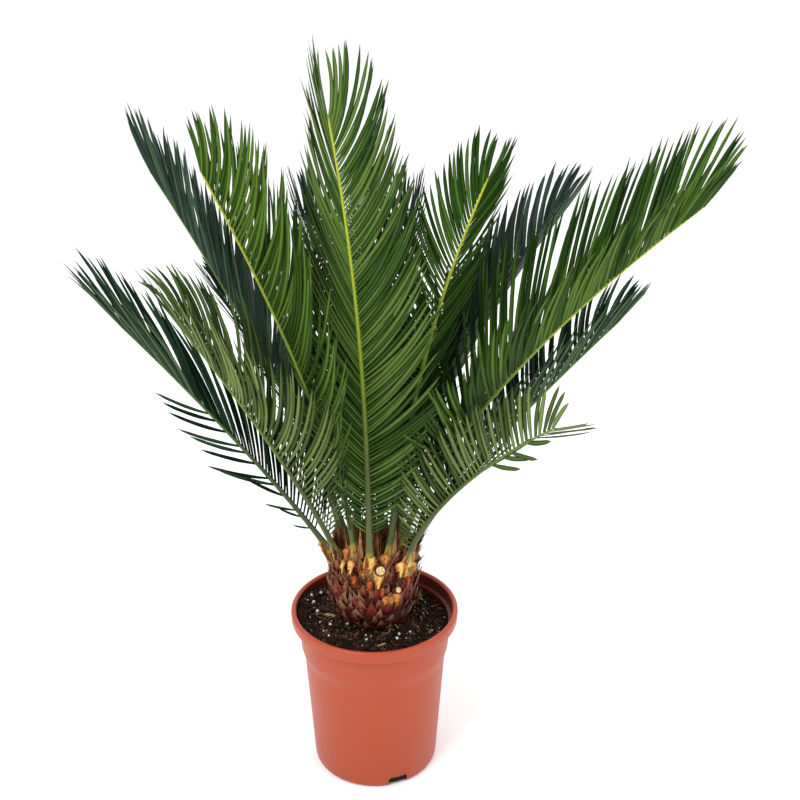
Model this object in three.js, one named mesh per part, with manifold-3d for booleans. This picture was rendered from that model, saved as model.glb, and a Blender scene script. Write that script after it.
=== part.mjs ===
// A young sago palm (Cycas revoluta) in its round nursery pot.
//
// Millimetres, +Z up, the origin at the centre of the pot's flat underside. Headings are measured
// from +X towards +Y. The pot, the potting mix and the caudex (the short scaly trunk) are one node
// each, and every frond is a node: a tapering midrib with its leaflets fused on.
//
// A frond follows one rule. Its midrib leaves the crown at a steep angle, "rise", which falls by
// "droop" towards the tip while the heading turns by "sweep". Two rows of leaflets stand in a V on
// its upper side and lean forward, more so towards the tip.
import * as THREE from 'three';
import { mergeVertices } from 'three/addons/utils/BufferGeometryUtils.js';
import Module from 'manifold-3d';

const wasm = await Module();
wasm.setup();

// ---------------------------------------------------------------- driving dimensions

const ROUND = 36;                   // flats round the pot and the potting mix
const CLEAR = 0.35;                 // gap kept between pieces that meet

const POT = {
  height: 180, lipRadius: 85, lipDepth: 13, lipWall: 5.5, wall: 1.6, floor: 3,
  baseRadius: 64, edge: 5, shoulderLow: 121, shoulderMiddle: 132, shoulderHigh: 143,
  waist: 71.9, shoulder: 75.8, underLip: 77.4,
};
const DRAIN = { count: 3, first: -68, width: 20, height: 11, depth: 13 };

const MIX = { edgeLow: 162, edgeHigh: 175, mound: 170, rings: 5, lumps: 1.2 };

const CAUDEX = {
  foot: 150, footRadius: 26, neck: 168, neckRadius: 34, belly: 199, bellyRadius: 47,
  rim: 240, rimRadius: 44, crown: 247, crownRadius: 30, top: 251, flats: 18,
};
const SCALE = { rows: 6, perRow: 11, width: 16, height: 21, stand: 4.6, low: 183, high: 236 };
const STUBS = [[-83, 230, 5], [-66, 212, 4], [-118, 222, 4], [28, 224, 5], [140, 218, 4.5]];
const BRACT = { count: 22, height: 38, width: 8, thick: 1.6, radius: 37, foot: 238, lean: 6 };

const RIB = { foot: 5.4, tip: 2, sides: 3, steps: 12, sunk: 12 };
const LEAFLET = {
  gap: 20, width: 12, thick: 1.4, belly: 0.28, crowd: 0.72, margin: 0.5, bare: 0.15,
  lengths: [1, 0.74, 0.52, 0.34],
};

// Heading, turn and rise-to-droop of each midrib in degrees, its length, the place of its foot on
// the crown (bearing, radius, height), the roll of its blade from foot to tip, and its leaflets. Between
// the two shares "strays" of a frond, its left row is sparse and hangs loose as STRAY says.
const USUAL = {
  roll: [0, 0], leaf: 96, vee: [48, 42], forward: [76, 46, 28], taper: 0.6, curve: [0.45, 0.45],
  strays: [0, 0],
};
const STRAY = { vee: -60, angle: 35, length: 0.55 };
const FRONDS = [
  { name: 'frond_front', heading: -93.8, sweep: -35.5, rise: 89.5, droop: 13, power: 0.74, length: 451,
    foot: [-95, 38, 244], roll: [-16, -3], leaf: 114, vee: [-14, 36], forward: [58, 42, 42], taper: 0.68,
    curve: [0.2, 0.5] },
  { name: 'frond_left_bright', heading: -178, sweep: -8, rise: 94.5, droop: 31, power: 0.35, length: 405,
    foot: [-125, 32, 249], roll: [-25, 40], leaf: 128, vee: [24, 52], forward: [84, 52, 58], taper: 0.5,
    curve: [0.5, 0.5] },
  { name: 'frond_left_back', heading: 164, sweep: -4, rise: 82.7, droop: 27.5, power: 0.35, length: 410,
    foot: [156, 30, 248], roll: [40, 24], leaf: 108, vee: [24, 36], forward: [86, 40, 32], taper: 0.76,
    curve: [0.1, 0.1] },
  { name: 'frond_left_low', heading: 180, sweep: 6, rise: 61, droop: 11.8, power: 0.4, length: 316,
    foot: [177, 43, 240], roll: [20, 0], leaf: 118, vee: [44, 28], forward: [76, 32, 32], taper: 0.7,
    curve: [0.2, 0.3], strays: [0, 0.62] },
  { name: 'frond_left_curled', heading: -156, sweep: -7, rise: 74.2, droop: 17, power: 0.36, length: 310,
    foot: [-159, 37, 243], roll: [14, -38], leaf: 104, vee: [54, 46], forward: [70, 52, 40], taper: 0.5,
    curve: [0.3, 1.05] },
  { name: 'frond_back_left', heading: 122, sweep: -1, rise: 90, droop: 29, power: 0.66, length: 335,
    foot: [132, 24, 249], leaf: 92 },
  { name: 'frond_back_centre', heading: 72, sweep: 0, rise: 84, droop: 20, power: 0.9, length: 330,
    foot: [74, 22, 249], leaf: 92 },
  { name: 'frond_right_bright', heading: -41, sweep: 0, rise: 82, droop: 17.7, power: 1.4, length: 410,
    foot: [-62, 31, 249], roll: [-12, -42], leaf: 86, vee: [38, 38], forward: [76, 58, 30], taper: 0.62,
    curve: [0.1, 0.34] },
  { name: 'frond_right_back', heading: 31, sweep: -2, rise: 94.9, droop: 50.2, power: 0.4, length: 369,
    foot: [40, 31, 248], leaf: 104, vee: [48, 45], forward: [76, 41, 36], taper: 0.62, curve: [0.4, 0.4] },
  { name: 'frond_right_long', heading: -20, sweep: -7.5, rise: 88.4, droop: 45.1, power: 0.35,
    length: 463, foot: [-14, 28, 249], roll: [28, 13], leaf: 132, vee: [47, 36], forward: [74, 43, 50],
    taper: 0.64, curve: [0.15, 0.15] },
  { name: 'frond_right_low', heading: 13.6, sweep: 10, rise: 80, droop: 43.4, power: 0.24, length: 310,
    foot: [12, 40, 243], roll: [-10, -10], leaf: 84, vee: [46, 46], forward: [76, 58, 46], taper: 0.7,
    curve: [0.4, 0.5] },
  { name: 'frond_right_arched', heading: -30.2, sweep: -1.4, rise: 95.5, droop: 59, power: 0.33,
    length: 242, foot: [-38, 41, 241], roll: [10, -70], leaf: 68, vee: [37, 24], forward: [66, 64, 56],
    taper: 0.64, curve: [0.3, 0.2], strays: [0.6, 0.88] },
  { name: 'frond_upright', heading: 100, sweep: 0, rise: 90, droop: 12, power: 1, length: 315,
    foot: [110, 8, 251], leaf: 90 },
  { name: 'frond_back_low_right', heading: 57, sweep: 0, rise: 74, droop: 40, power: 0.6, length: 300,
    foot: [62, 41, 242], leaf: 86 },
  { name: 'frond_back_low_centre', heading: 94, sweep: 0, rise: 74, droop: 42, power: 0.6, length: 306,
    foot: [96, 41, 242], leaf: 86 },
  { name: 'frond_back_low_left', heading: 134, sweep: 0, rise: 74, droop: 40, power: 0.6, length: 300,
    foot: [140, 42, 241], leaf: 86 },
].map((frond) => ({ ...USUAL, ...frond }));

const FINISH = {
  pot: { color: 0xc3603f, roughness: 0.42 },
  mix: { color: 0x2b211c, roughness: 0.95 },
  caudex: { color: 0x6e3a26, roughness: 0.85 },
  frond: { color: 0x33521f, roughness: 0.45 },
};

// ---------------------------------------------------------------- small helpers

const radians = THREE.MathUtils.degToRad;
const { lerp, clamp, smoothstep } = THREE.MathUtils;
const point = (x, y, z) => new THREE.Vector3(x, y, z);

/** A point at a bearing in degrees, a radius and a height. */
function polar(bearing, radius, z) {
  return point(radius * Math.cos(radians(bearing)), radius * Math.sin(radians(bearing)), z);
}

/** A repeatable stand-in for chance: 0 to 1 from two whole numbers. */
function chance(a, b) {
  const wave = Math.sin(a * 12.9898 + b * 78.233) * 43758.5453;
  return wave - Math.floor(wave);
}

/** A manifold solid from a closed three.js geometry. */
function solid(geometry) {
  const bare = geometry.clone();
  bare.deleteAttribute('normal');
  bare.deleteAttribute('uv');
  const merged = mergeVertices(bare, 1e-4);
  const index = merged.index.array;
  const kept = [];
  for (let i = 0; i < index.length; i += 3) {
    const [a, b, c] = [index[i], index[i + 1], index[i + 2]];
    if (a !== b && b !== c && c !== a) kept.push(a, b, c);
  }
  return new wasm.Manifold(new wasm.Mesh({
    numProp: 3,
    vertProperties: new Float32Array(merged.attributes.position.array),
    triVerts: new Uint32Array(kept),
  }));
}

/** A closed three.js geometry from corner points and triangles. */
function shell(points, triangles) {
  const geometry = new THREE.BufferGeometry();
  geometry.setAttribute('position', new THREE.Float32BufferAttribute(points.flatMap((p) => p.toArray()), 3));
  geometry.setIndex(triangles.flat());
  return geometry;
}

/** A fused body without the scraps and the sealed hollows that fusing leaves. */
function whole(body) {
  const parts = body.decompose();
  return parts.reduce((best, part) => (part.volume() > best.volume() ? part : best));
}

/** The three.js mesh of a manifold solid, under its node's name. */
function mesh(name, body, finish) {
  const { vertProperties, triVerts, numProp } = whole(body).getMesh();
  if (numProp !== 3) throw new Error('only positions are expected');
  const geometry = new THREE.BufferGeometry();
  geometry.setAttribute('position', new THREE.BufferAttribute(vertProperties, 3));
  geometry.setIndex(new THREE.BufferAttribute(triVerts, 1));
  const made = new THREE.Mesh(geometry, new THREE.MeshStandardMaterial({ metalness: 0, ...finish }));
  made.name = name;
  return made;
}

/** A lathed solid from a profile of [radius, height] pairs that starts and ends on the axis. */
function turned(profile, flats) {
  const geometry = new THREE.LatheGeometry(profile.map(([r, z]) => new THREE.Vector2(r, z)), flats);
  return solid(geometry.rotateX(Math.PI / 2));
}

/** Eight faces: two pointed ends, one each side of a four-cornered waist that turns either way. */
function bipyramid(start, end, corners) {
  const axis = end.clone().sub(start);
  const turn = corners[0].clone().sub(corners[2]).cross(corners[1].clone().sub(corners[3]));
  const waist = turn.dot(axis) > 0 ? corners : [...corners].reverse();
  const triangles = [0, 1, 2, 3].flatMap((i) => {
    const next = (i + 1) % 4;
    return [[4, next, i], [5, i, next]];
  });
  return solid(shell([...waist, start, end], triangles));
}

// ---------------------------------------------------------------- pot

/** Outer radius of the pot's wall at a height: a taper with one shoulder. */
function potWall(z) {
  if (z < POT.shoulderLow) return lerp(POT.baseRadius, POT.waist, z / POT.shoulderLow);
  if (z < POT.shoulderHigh) {
    return lerp(POT.waist, POT.shoulder, smoothstep(z, POT.shoulderLow, POT.shoulderHigh));
  }
  const lipFoot = POT.height - POT.lipDepth;
  return lerp(POT.shoulder, POT.underLip, (z - POT.shoulderHigh) / (lipFoot - POT.shoulderHigh));
}

/** The pot's inner radius at a height below the lip. */
const potBore = (z) => potWall(z) - POT.wall;

function pot() {
  const lipFoot = POT.height - POT.lipDepth;
  const heights = [POT.edge, POT.shoulderLow, POT.shoulderMiddle, POT.shoulderHigh, lipFoot];
  const rounded = [0, 45].map((angle) => [
    potWall(0) - POT.edge * (1 - Math.sin(radians(angle))) + 0.2,
    POT.edge * (1 - Math.cos(radians(angle))),
  ]);
  const outside = heights.map((z) => [potWall(z), z]);
  const lip = [
    [POT.lipRadius - 1.2, lipFoot], [POT.lipRadius - 0.5, lipFoot + 1], [POT.lipRadius, POT.height - 2],
    [POT.lipRadius - 0.8, POT.height - 0.4], [POT.lipRadius - 2.2, POT.height],
    [POT.lipRadius - POT.lipWall + 0.8, POT.height - 0.3], [POT.lipRadius - POT.lipWall, POT.height - 2],
  ];
  const inside = [...heights].reverse().map((z) => [potBore(z), z]);
  const bottom = [[potBore(POT.floor) - 1, POT.floor], [0, POT.floor]];
  let body = turned([[0, 0], ...rounded, ...outside, ...lip, ...inside, ...bottom], ROUND);
  for (let i = 0; i < DRAIN.count; i += 1) {
    const bearing = DRAIN.first + (i * 360) / DRAIN.count;
    const notch = new THREE.BoxGeometry(DRAIN.depth * 2, DRAIN.width, DRAIN.height * 2);
    notch.rotateZ(radians(bearing));
    notch.translate(...polar(bearing, POT.baseRadius + 2, 0).toArray());
    body = body.subtract(solid(notch));
  }
  return body;
}

// ---------------------------------------------------------------- caudex

const CORE = [
  [CAUDEX.footRadius, CAUDEX.foot], [CAUDEX.neckRadius, CAUDEX.neck],
  [lerp(CAUDEX.neckRadius, CAUDEX.bellyRadius, 0.72), lerp(CAUDEX.neck, CAUDEX.belly, 0.45)],
  [CAUDEX.bellyRadius, CAUDEX.belly], [CAUDEX.bellyRadius - 1.5, lerp(CAUDEX.belly, CAUDEX.rim, 0.6)],
  [CAUDEX.rimRadius, CAUDEX.rim], [CAUDEX.crownRadius, CAUDEX.crown], [0, CAUDEX.top],
];

/** The core's radius at a height between its neck and its rim. */
function coreRadius(z) {
  for (let i = 1; i < CORE.length; i += 1) {
    const [[r0, z0], [r1, z1]] = [CORE[i - 1], CORE[i]];
    if (z <= z1) return lerp(r0, r1, clamp((z - z0) / (z1 - z0), 0, 1));
  }
  return 0;
}

/** The caudex without its scales: a lathed, pineapple-shaped body on a flat foot. */
function caudexCore(grow = 0) {
  const profile = CORE.map(([r, z]) => [r > 0 ? r + grow : 0, z + (z > CAUDEX.foot ? grow : -grow)]);
  return turned([[0, CAUDEX.foot - grow], ...profile], CAUDEX.flats);
}

/** One old leaf-base: a pointed scale that lies on the core and lifts its tip. */
function scale(bearing, z, size) {
  const out = polar(bearing, 1, 0);
  const side = polar(bearing + 90, 1, 0);
  const seat = polar(bearing, coreRadius(z), z);
  const at = (along, across, up) => seat.clone().addScaledVector(out, along)
    .addScaledVector(side, across).add(point(0, 0, up));
  const half = (SCALE.width / 2) * size;
  const tall = SCALE.height * size;
  return bipyramid(at(SCALE.stand * size * 0.8, 0, -tall * 0.12), at(-5, 0, 0), [
    at(0.5, -half, -tall * 0.1), at(-1, 0, -tall * 0.5),
    at(0.5, half, -tall * 0.1), at(SCALE.stand * size, 0, tall * 0.55),
  ]);
}

/** The rows of scales, each row turned half a scale against the one below. */
function scales() {
  return Array.from({ length: SCALE.rows * SCALE.perRow }, (_, count) => {
    const row = Math.floor(count / SCALE.perRow);
    const i = count % SCALE.perRow;
    const z = lerp(SCALE.low, SCALE.high, row / (SCALE.rows - 1));
    const bearing = ((i + row / 2) * 360) / SCALE.perRow + 5 * (chance(row, i) - 0.5);
    return scale(bearing, z, lerp(0.9, 1.12, chance(i, row + 9)) * (row === 0 ? 0.75 : 1));
  });
}

/** A cut leaf-stalk: a short round plug that stands out of the caudex. */
function stub(bearing, z, radius) {
  const plug = new THREE.CylinderGeometry(radius, radius, 12, 10);
  plug.rotateZ(Math.PI / 2);
  plug.rotateY(radians(-14));
  plug.rotateZ(radians(bearing));
  plug.translate(...polar(bearing, coreRadius(z) + 0.5, z).toArray());
  return solid(plug);
}

/** A papery pointed bract that stands up between the leaf-stalks. */
function bract(i) {
  const bearing = ((i + 0.35 * chance(i, 3)) * 360) / BRACT.count;
  const outer = i % 2 === 0;
  const tall = BRACT.height * lerp(0.6, 1, chance(i, 5));
  const centre = polar(bearing, outer ? BRACT.radius : BRACT.radius - 13, BRACT.foot + (outer ? 0 : 6));
  const out = polar(bearing, 1, 0);
  const side = polar(bearing + 90, BRACT.width / 2, 0);
  const waist = centre.clone().add(point(0, 0, tall * 0.3));
  return bipyramid(
    centre.clone().add(point(0, 0, -8)),
    centre.clone().addScaledVector(out, outer ? BRACT.lean : 1).add(point(0, 0, tall)),
    [waist.clone().addScaledVector(out, BRACT.thick), waist.clone().add(side),
      waist.clone().addScaledVector(out, -BRACT.thick), waist.clone().sub(side)],
  );
}

// ---------------------------------------------------------------- potting mix

/** Height of the potting mix: a mound at the caudex, higher against the wall at the left front. */
function mixTop(bearing, share) {
  const tilt = smoothstep(0.5 - 0.75 * Math.cos(radians(bearing - 40)), 0, 1);
  const edge = lerp(MIX.edgeLow, MIX.edgeHigh, tilt);
  const lump = Math.sin(radians(6 * bearing) + 9 * share) * Math.sin(radians(3 * bearing) + 5 * share);
  return lerp(MIX.mound, edge, smoothstep(share, 0.35, 1)) + MIX.lumps * lump;
}

function pottingMix(cutter) {
  const inner = (z) => potBore(z) - CLEAR;
  const points = [point(0, 0, POT.floor + CLEAR), point(0, 0, MIX.mound)];
  const rows = [
    [POT.floor + CLEAR, 0.975], [POT.shoulderLow, 1], [POT.shoulderMiddle, 1], [POT.shoulderHigh, 1],
  ];
  for (let i = 0; i < ROUND; i += 1) {
    const bearing = 90 - (i * 360) / ROUND;
    for (const [z, share] of rows) points.push(polar(bearing, inner(z) * share, z));
    for (let ring = MIX.rings; ring > 0; ring -= 1) {
      const share = ring / MIX.rings;
      const z = mixTop(bearing, share);
      points.push(polar(bearing, inner(z) * share, z));
    }
  }
  const column = rows.length + MIX.rings;
  const triangles = [];
  for (let i = 0; i < ROUND; i += 1) {
    const here = 2 + i * column;
    const next = 2 + ((i + 1) % ROUND) * column;
    triangles.push([0, here, next], [1, next + column - 1, here + column - 1]);
    for (let j = 0; j < column - 1; j += 1) {
      triangles.push([here + j, here + j + 1, next + j], [next + j, here + j + 1, next + j + 1]);
    }
  }
  return solid(shell(points, triangles)).subtract(cutter);
}

// ---------------------------------------------------------------- fronds

/** Places and directions along a midrib: "share" runs from 0 at its foot to 1 at its tip. */
function midrib(frond, share, steps = 60) {
  const place = polar(...frond.foot);
  const angles = (s) => [radians(frond.rise - frond.droop * s ** frond.power),
    radians(frond.heading + frond.sweep * s)];
  const ahead = (s) => {
    const [climb, heading] = angles(s);
    return point(Math.cos(climb) * Math.cos(heading), Math.cos(climb) * Math.sin(heading), Math.sin(climb));
  };
  for (let i = 0; i < steps; i += 1) {
    place.addScaledVector(ahead(((i + 0.5) / steps) * share), (frond.length * share) / steps);
  }
  const forward = ahead(share);
  const heading = angles(share)[1];
  const left = point(-Math.sin(heading), Math.cos(heading), 0);
  const upper = forward.clone().cross(left);
  const roll = radians(lerp(frond.roll[0], frond.roll[1], share));
  const side = left.clone().multiplyScalar(Math.cos(roll)).addScaledVector(upper, Math.sin(roll));
  const top = upper.clone().multiplyScalar(Math.cos(roll)).addScaledVector(left, -Math.sin(roll));
  return { place, forward, side, top };
}

/** Length of a leaflet: short at the foot, full from a third of the way, shorter at the tip. */
function leafletLength(frond, along) {
  const growing = 1 - (1 - clamp(along / 0.3, 0, 1)) ** 1.8;
  const ending = 1 - (1 - frond.taper) * clamp((along - 0.45) / 0.55, 0, 1) ** 1.5;
  const last = 1 - 0.35 * smoothstep(along, 0.94, 1);
  return frond.leaf * (0.16 + 0.84 * growing) * ending * last;
}

/** The angle that a leaflet makes with the midrib. The last ones close up. */
function leafletAngle(frond, along) {
  const [foot, middle, tip] = frond.forward;
  if (along < 0.5) return lerp(foot, middle, along / 0.5);
  const closing = 1 - 0.4 * smoothstep(along, 0.86, 1);
  return lerp(middle, tip, ((along - 0.5) / 0.5) ** 1.3) * closing;
}

/** The midrib's radius, from its foot at 0 to its tip at 1. */
const ribRadius = (share) => lerp(RIB.foot, RIB.tip, Math.max(share, 0) ** 0.7);

/** True for a leaflet of the loose part of a row. */
const strays = (frond, along, hand) => hand > 0 && along > frond.strays[0] && along < frond.strays[1];

/** One leaflet as a bent kite of eight faces, "grow" thicker all round. Its root is sunk in the rib. */
function leaflet(frond, along, hand, reach, grow) {
  const share = LEAFLET.bare + (1 - LEAFLET.bare) * along;
  const { place, forward, side, top } = midrib(frond, share, 30);
  const loose = strays(frond, along, hand);
  const vee = radians(loose ? STRAY.vee : lerp(frond.vee[0], frond.vee[1], along));
  const angle = radians(loose ? STRAY.angle : leafletAngle(frond, along));
  const row = side.clone().multiplyScalar(hand * Math.cos(vee)).addScaledVector(top, Math.sin(vee));
  const normal = top.clone().multiplyScalar(Math.cos(vee)).addScaledVector(side, -hand * Math.sin(vee));
  const ahead = forward.clone().multiplyScalar(Math.cos(angle)).addScaledVector(row, Math.sin(angle));
  const inward = forward.clone().multiplyScalar(Math.sin(angle)).addScaledVector(row, -Math.cos(angle));
  const length = leafletLength(frond, along) * reach * (loose ? STRAY.length : 1);
  const bend = lerp(frond.curve[0], frond.curve[1], along);
  const at = (t) => place.clone().addScaledVector(ahead, t * length)
    .addScaledVector(inward, 0.5 * bend * t * t * length);
  const width = Math.min(LEAFLET.width, LEAFLET.crowd * LEAFLET.gap * Math.sin(angle)) / 2 + grow;
  const thick = LEAFLET.thick / 2 + grow;
  const waist = at(LEAFLET.belly);
  const corner = (across, out) => waist.clone().addScaledVector(inward, across).addScaledVector(normal, out);
  const kite = [corner(width, 0), corner(0, thick), corner(-width, 0), corner(0, -thick)];
  const root = place.clone().addScaledVector(top, -0.35 * ribRadius(share));
  return bipyramid(root, at(1 + grow / length), kite);
}

/** The midrib: a three-sided tapering bar, keel down, from just inside the crown to its tip. */
function rib(frond, grow = 0) {
  const points = [];
  const start = midrib(frond, 0);
  const sunk = RIB.sunk / frond.length;
  for (let i = 0; i <= RIB.steps; i += 1) {
    const share = lerp(-sunk, 1, i / RIB.steps);
    const { place, forward, side, top } = share < 0 ? start : midrib(frond, share);
    if (share < 0) place.addScaledVector(forward, share * frond.length);
    const radius = ribRadius(share) + grow / Math.cos(Math.PI / RIB.sides);
    for (let j = 0; j < RIB.sides; j += 1) {
      const turn = (2 * Math.PI * j) / RIB.sides - Math.PI / 2;
      points.push(place.clone().addScaledVector(side, radius * Math.cos(turn))
        .addScaledVector(top, radius * 0.85 * Math.sin(turn)));
    }
  }
  const last = RIB.steps * RIB.sides;
  const triangles = [];
  for (let j = 0; j < RIB.sides; j += 1) {
    const next = (j + 1) % RIB.sides;
    for (let i = 0; i < last; i += RIB.sides) {
      triangles.push([i + j, i + next, i + RIB.sides + j]);
      triangles.push([i + next, i + RIB.sides + next, i + RIB.sides + j]);
    }
    if (j > 0 && j < RIB.sides - 1) {
      triangles.push([0, j + 1, j], [last, last + j, last + j + 1]);
    }
  }
  return solid(shell(points, triangles));
}

/** True where two solids share room. */
function meets(a, b) {
  const [p, q] = [a.boundingBox(), b.boundingBox()];
  const apart = [0, 1, 2].some((i) => p.max[i] < q.min[i] || q.max[i] < p.min[i]);
  return !apart && !a.intersect(b).isEmpty();
}

/** The fronds, whose feet are cut by "cutter". A leaflet that would touch one of the obstacles or
 *  another frond is made shorter, or skipped. */
function fronds(cutter, obstacles) {
  const ribs = FRONDS.map((frond) => rib(frond, CLEAR));
  const taken = FRONDS.map(() => []);
  return FRONDS.map((frond, own) => {
    const others = [...obstacles, ...ribs, ...taken.flat()].filter((other) => other !== ribs[own]);
    const count = Math.round(((1 - LEAFLET.bare) * frond.length) / LEAFLET.gap);
    const pieces = [rib(frond)];
    for (let i = 0; i < count; i += 1) {
      const along = (i + 0.5) / count;
      for (const hand of [1, -1]) {
        if (strays(frond, along, hand) && i % 2 === 1) continue;
        const reach = LEAFLET.lengths.find((share) => {
          const room = leaflet(frond, along, hand, share, LEAFLET.margin);
          return !others.some((other) => meets(room, other));
        });
        if (reach === undefined) continue;
        pieces.push(leaflet(frond, along, hand, reach, 0));
        taken[own].push(leaflet(frond, along, hand, reach, 0));
      }
    }
    return mesh(frond.name, wasm.Manifold.union(pieces).subtract(cutter), FINISH.frond);
  });
}

// ---------------------------------------------------------------- the plant

const stalks = wasm.Manifold.union(FRONDS.map((frond) => rib(frond, CLEAR)));
const bracts = Array.from({ length: BRACT.count }, (_, i) => bract(i));
const trimmings = [...scales(), ...STUBS.map((place) => stub(...place)), ...bracts]
  .filter((piece) => !meets(piece, stalks));

const palm = new THREE.Group();
palm.add(mesh('pot', pot(), FINISH.pot));
palm.add(mesh('potting_mix', pottingMix(caudexCore(CLEAR)), FINISH.mix));
palm.add(mesh('caudex', wasm.Manifold.union([caudexCore(), ...trimmings]), FINISH.caudex));
for (const frond of fronds(caudexCore(CLEAR), trimmings)) palm.add(frond);

export default palm;
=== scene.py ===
"""A young sago palm in its round nursery pot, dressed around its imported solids.

Everything is in metres, +Z up, with the origin at the centre of the pot's underside. Bearings and
headings are degrees from +X towards +Y. Every living piece is a closed section carried along a path:
midribs, leaflets, trunk scales, bracts, fibres. The pot, the potting mix and the trunk's core are
rings of points stacked on one another.
"""
import functools
import logging
from collections.abc import Mapping, Sequence
from dataclasses import dataclass
from enum import Enum, IntEnum
from typing import Any, ClassVar, Protocol

import bpy
import numpy as np
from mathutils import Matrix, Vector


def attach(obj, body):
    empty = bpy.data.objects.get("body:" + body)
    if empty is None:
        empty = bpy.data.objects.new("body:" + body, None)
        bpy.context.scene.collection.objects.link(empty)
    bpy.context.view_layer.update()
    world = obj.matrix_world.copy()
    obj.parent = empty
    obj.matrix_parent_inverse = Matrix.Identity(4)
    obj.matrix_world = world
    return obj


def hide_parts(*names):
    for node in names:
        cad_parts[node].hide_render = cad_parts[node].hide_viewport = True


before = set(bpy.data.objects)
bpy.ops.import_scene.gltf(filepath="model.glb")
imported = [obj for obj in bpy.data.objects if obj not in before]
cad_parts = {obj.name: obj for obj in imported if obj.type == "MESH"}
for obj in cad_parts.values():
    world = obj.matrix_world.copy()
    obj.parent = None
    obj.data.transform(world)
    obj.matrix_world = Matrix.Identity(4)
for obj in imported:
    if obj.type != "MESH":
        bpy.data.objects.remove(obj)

log = logging.getLogger("sago_palm")

MM = 0.001
GOLDEN_TURN = 137.508
UP = np.array([0.0, 0.0, 1.0])
Array = np.ndarray
Chance = np.random.Generator
Pair = tuple[float, float]
Triple = tuple[float, float, float]
Table = tuple[tuple[float, ...], ...]
Colour = tuple[float, float, float, float]
BLACK: Colour = (0.0, 0.0, 0.0, 1.0)
WHITE: Colour = (1.0, 1.0, 1.0, 1.0)


class Seed(IntEnum):
    """Where each random stream and each field of ripples starts. A frond's is FROND and its number."""

    DENTED_SCALES = 5
    DENTED_FLESH = 6
    DENTED_FLANGES = 9
    DENTED_CORE = 11
    LEAF_BASES = 21
    BRACTS = 31
    WOOL = 41
    FRAY = 45
    SPINES = 51
    COARSE_PEAT = 61
    MEDIUM_PEAT = 62
    FINE_PEAT = 63
    CRUMBS = 71
    PERLITE = 72
    CHIPS = 73
    ROOTS = 74
    FROND = 100


# ---------------------------------------------------------------- numbers


def smooth(value: Array, low: float = 0.0, high: float = 1.0) -> Array:
    """The S-curve 3t^2 - 2t^3, where t is the share of the way from low to high, kept in 0 to 1."""
    share = np.clip((value - low) / (high - low), 0.0, 1.0)
    return share * share * (3.0 - 2.0 * share)


def between(low: Any, high: Any, share: Any) -> Any:
    """The value a share of the way from low to high."""
    return low + (high - low) * share


def unit(vectors: Array) -> Array:
    """The vectors at length one."""
    return vectors / np.maximum(np.linalg.norm(vectors, axis=-1, keepdims=True), 1e-12)


def columns(rows: Table) -> list[Array]:
    """A table's columns: bearings in degrees, then lengths given in millimetres, as metres."""
    bearing, *lengths = (np.array(column, float) for column in zip(*rows))
    return [bearing, *(length * MM for length in lengths)]


def polar(bearing: Any, radius: Any, height: Any) -> Array:
    """Points at bearings in degrees, distances from the axis, and heights."""
    angle = np.radians(bearing)
    parts = np.broadcast_arrays(radius * np.cos(angle), radius * np.sin(angle), height)
    return np.stack(parts, axis=-1).astype(float)


def ripples(points: Array, wavelength: float, seed: int, waves: int = 14) -> Array:
    """A smooth random field, about -1 to 1: the sum of sine waves that run in random directions.

    Their lengths are spread evenly from 0.6 to 1.6 times the mean.

    Args:
        points: the places where it is wanted, with three numbers last.
        wavelength: the mean length from crest to crest.
        seed: picks one field.
        waves: how many waves are summed.

    Returns:
        One number for each point.
    """
    rng = np.random.default_rng(seed)
    directions = unit(rng.normal(size=(waves, 3)))
    lengths = wavelength * rng.uniform(0.6, 1.6, waves)
    phases = points @ (directions / lengths[:, None]).T * 2 * np.pi + rng.uniform(0, 2 * np.pi, waves)
    return np.sin(phases).sum(axis=-1) / np.sqrt(waves)


def faded(colour: Colour, share: float) -> Colour:
    """The colour at a share of its brightness."""
    return (*(part * share for part in colour[:3]), 1.0)


def shade(red: int, green: int, blue: int) -> Colour:
    """A screen colour, 0 to 255 a channel, as the linear colour that a shader takes."""
    screen = np.array([red, green, blue]) / 255.0
    linear = np.where(screen <= 0.04045, screen / 12.92, ((screen + 0.055) / 1.055) ** 2.4)
    return (*(float(part) for part in linear), 1.0)


# ---------------------------------------------------------------- shader nodes


class Wire:
    """One output socket of a node. Sums and products of wires and numbers add Math nodes."""

    def __init__(self, recipe: "Recipe", socket: bpy.types.NodeSocket) -> None:
        """Keeps the socket and the recipe that it belongs to."""
        self.recipe = recipe
        self.socket = socket

    def _maths(self, operation: str, first: "Value", second: "Value") -> "Wire":
        """A Math node of that operation on two values."""
        node = self.recipe.node("ShaderNodeMath", {"operation": operation}, {0: first, 1: second})
        return Wire(self.recipe, node.outputs[0])

    def __add__(self, other: "Value") -> "Wire":
        """The sum."""
        return self._maths("ADD", self, other)

    __radd__ = __add__

    def __mul__(self, other: "Value") -> "Wire":
        """The product."""
        return self._maths("MULTIPLY", self, other)

    __rmul__ = __mul__

    def __sub__(self, other: "Value") -> "Wire":
        """The difference."""
        return self._maths("SUBTRACT", self, other)

    def __rsub__(self, other: "Value") -> "Wire":
        """The difference, the other way round."""
        return self._maths("SUBTRACT", other, self)


Value = Wire | float | Sequence[float]


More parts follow.
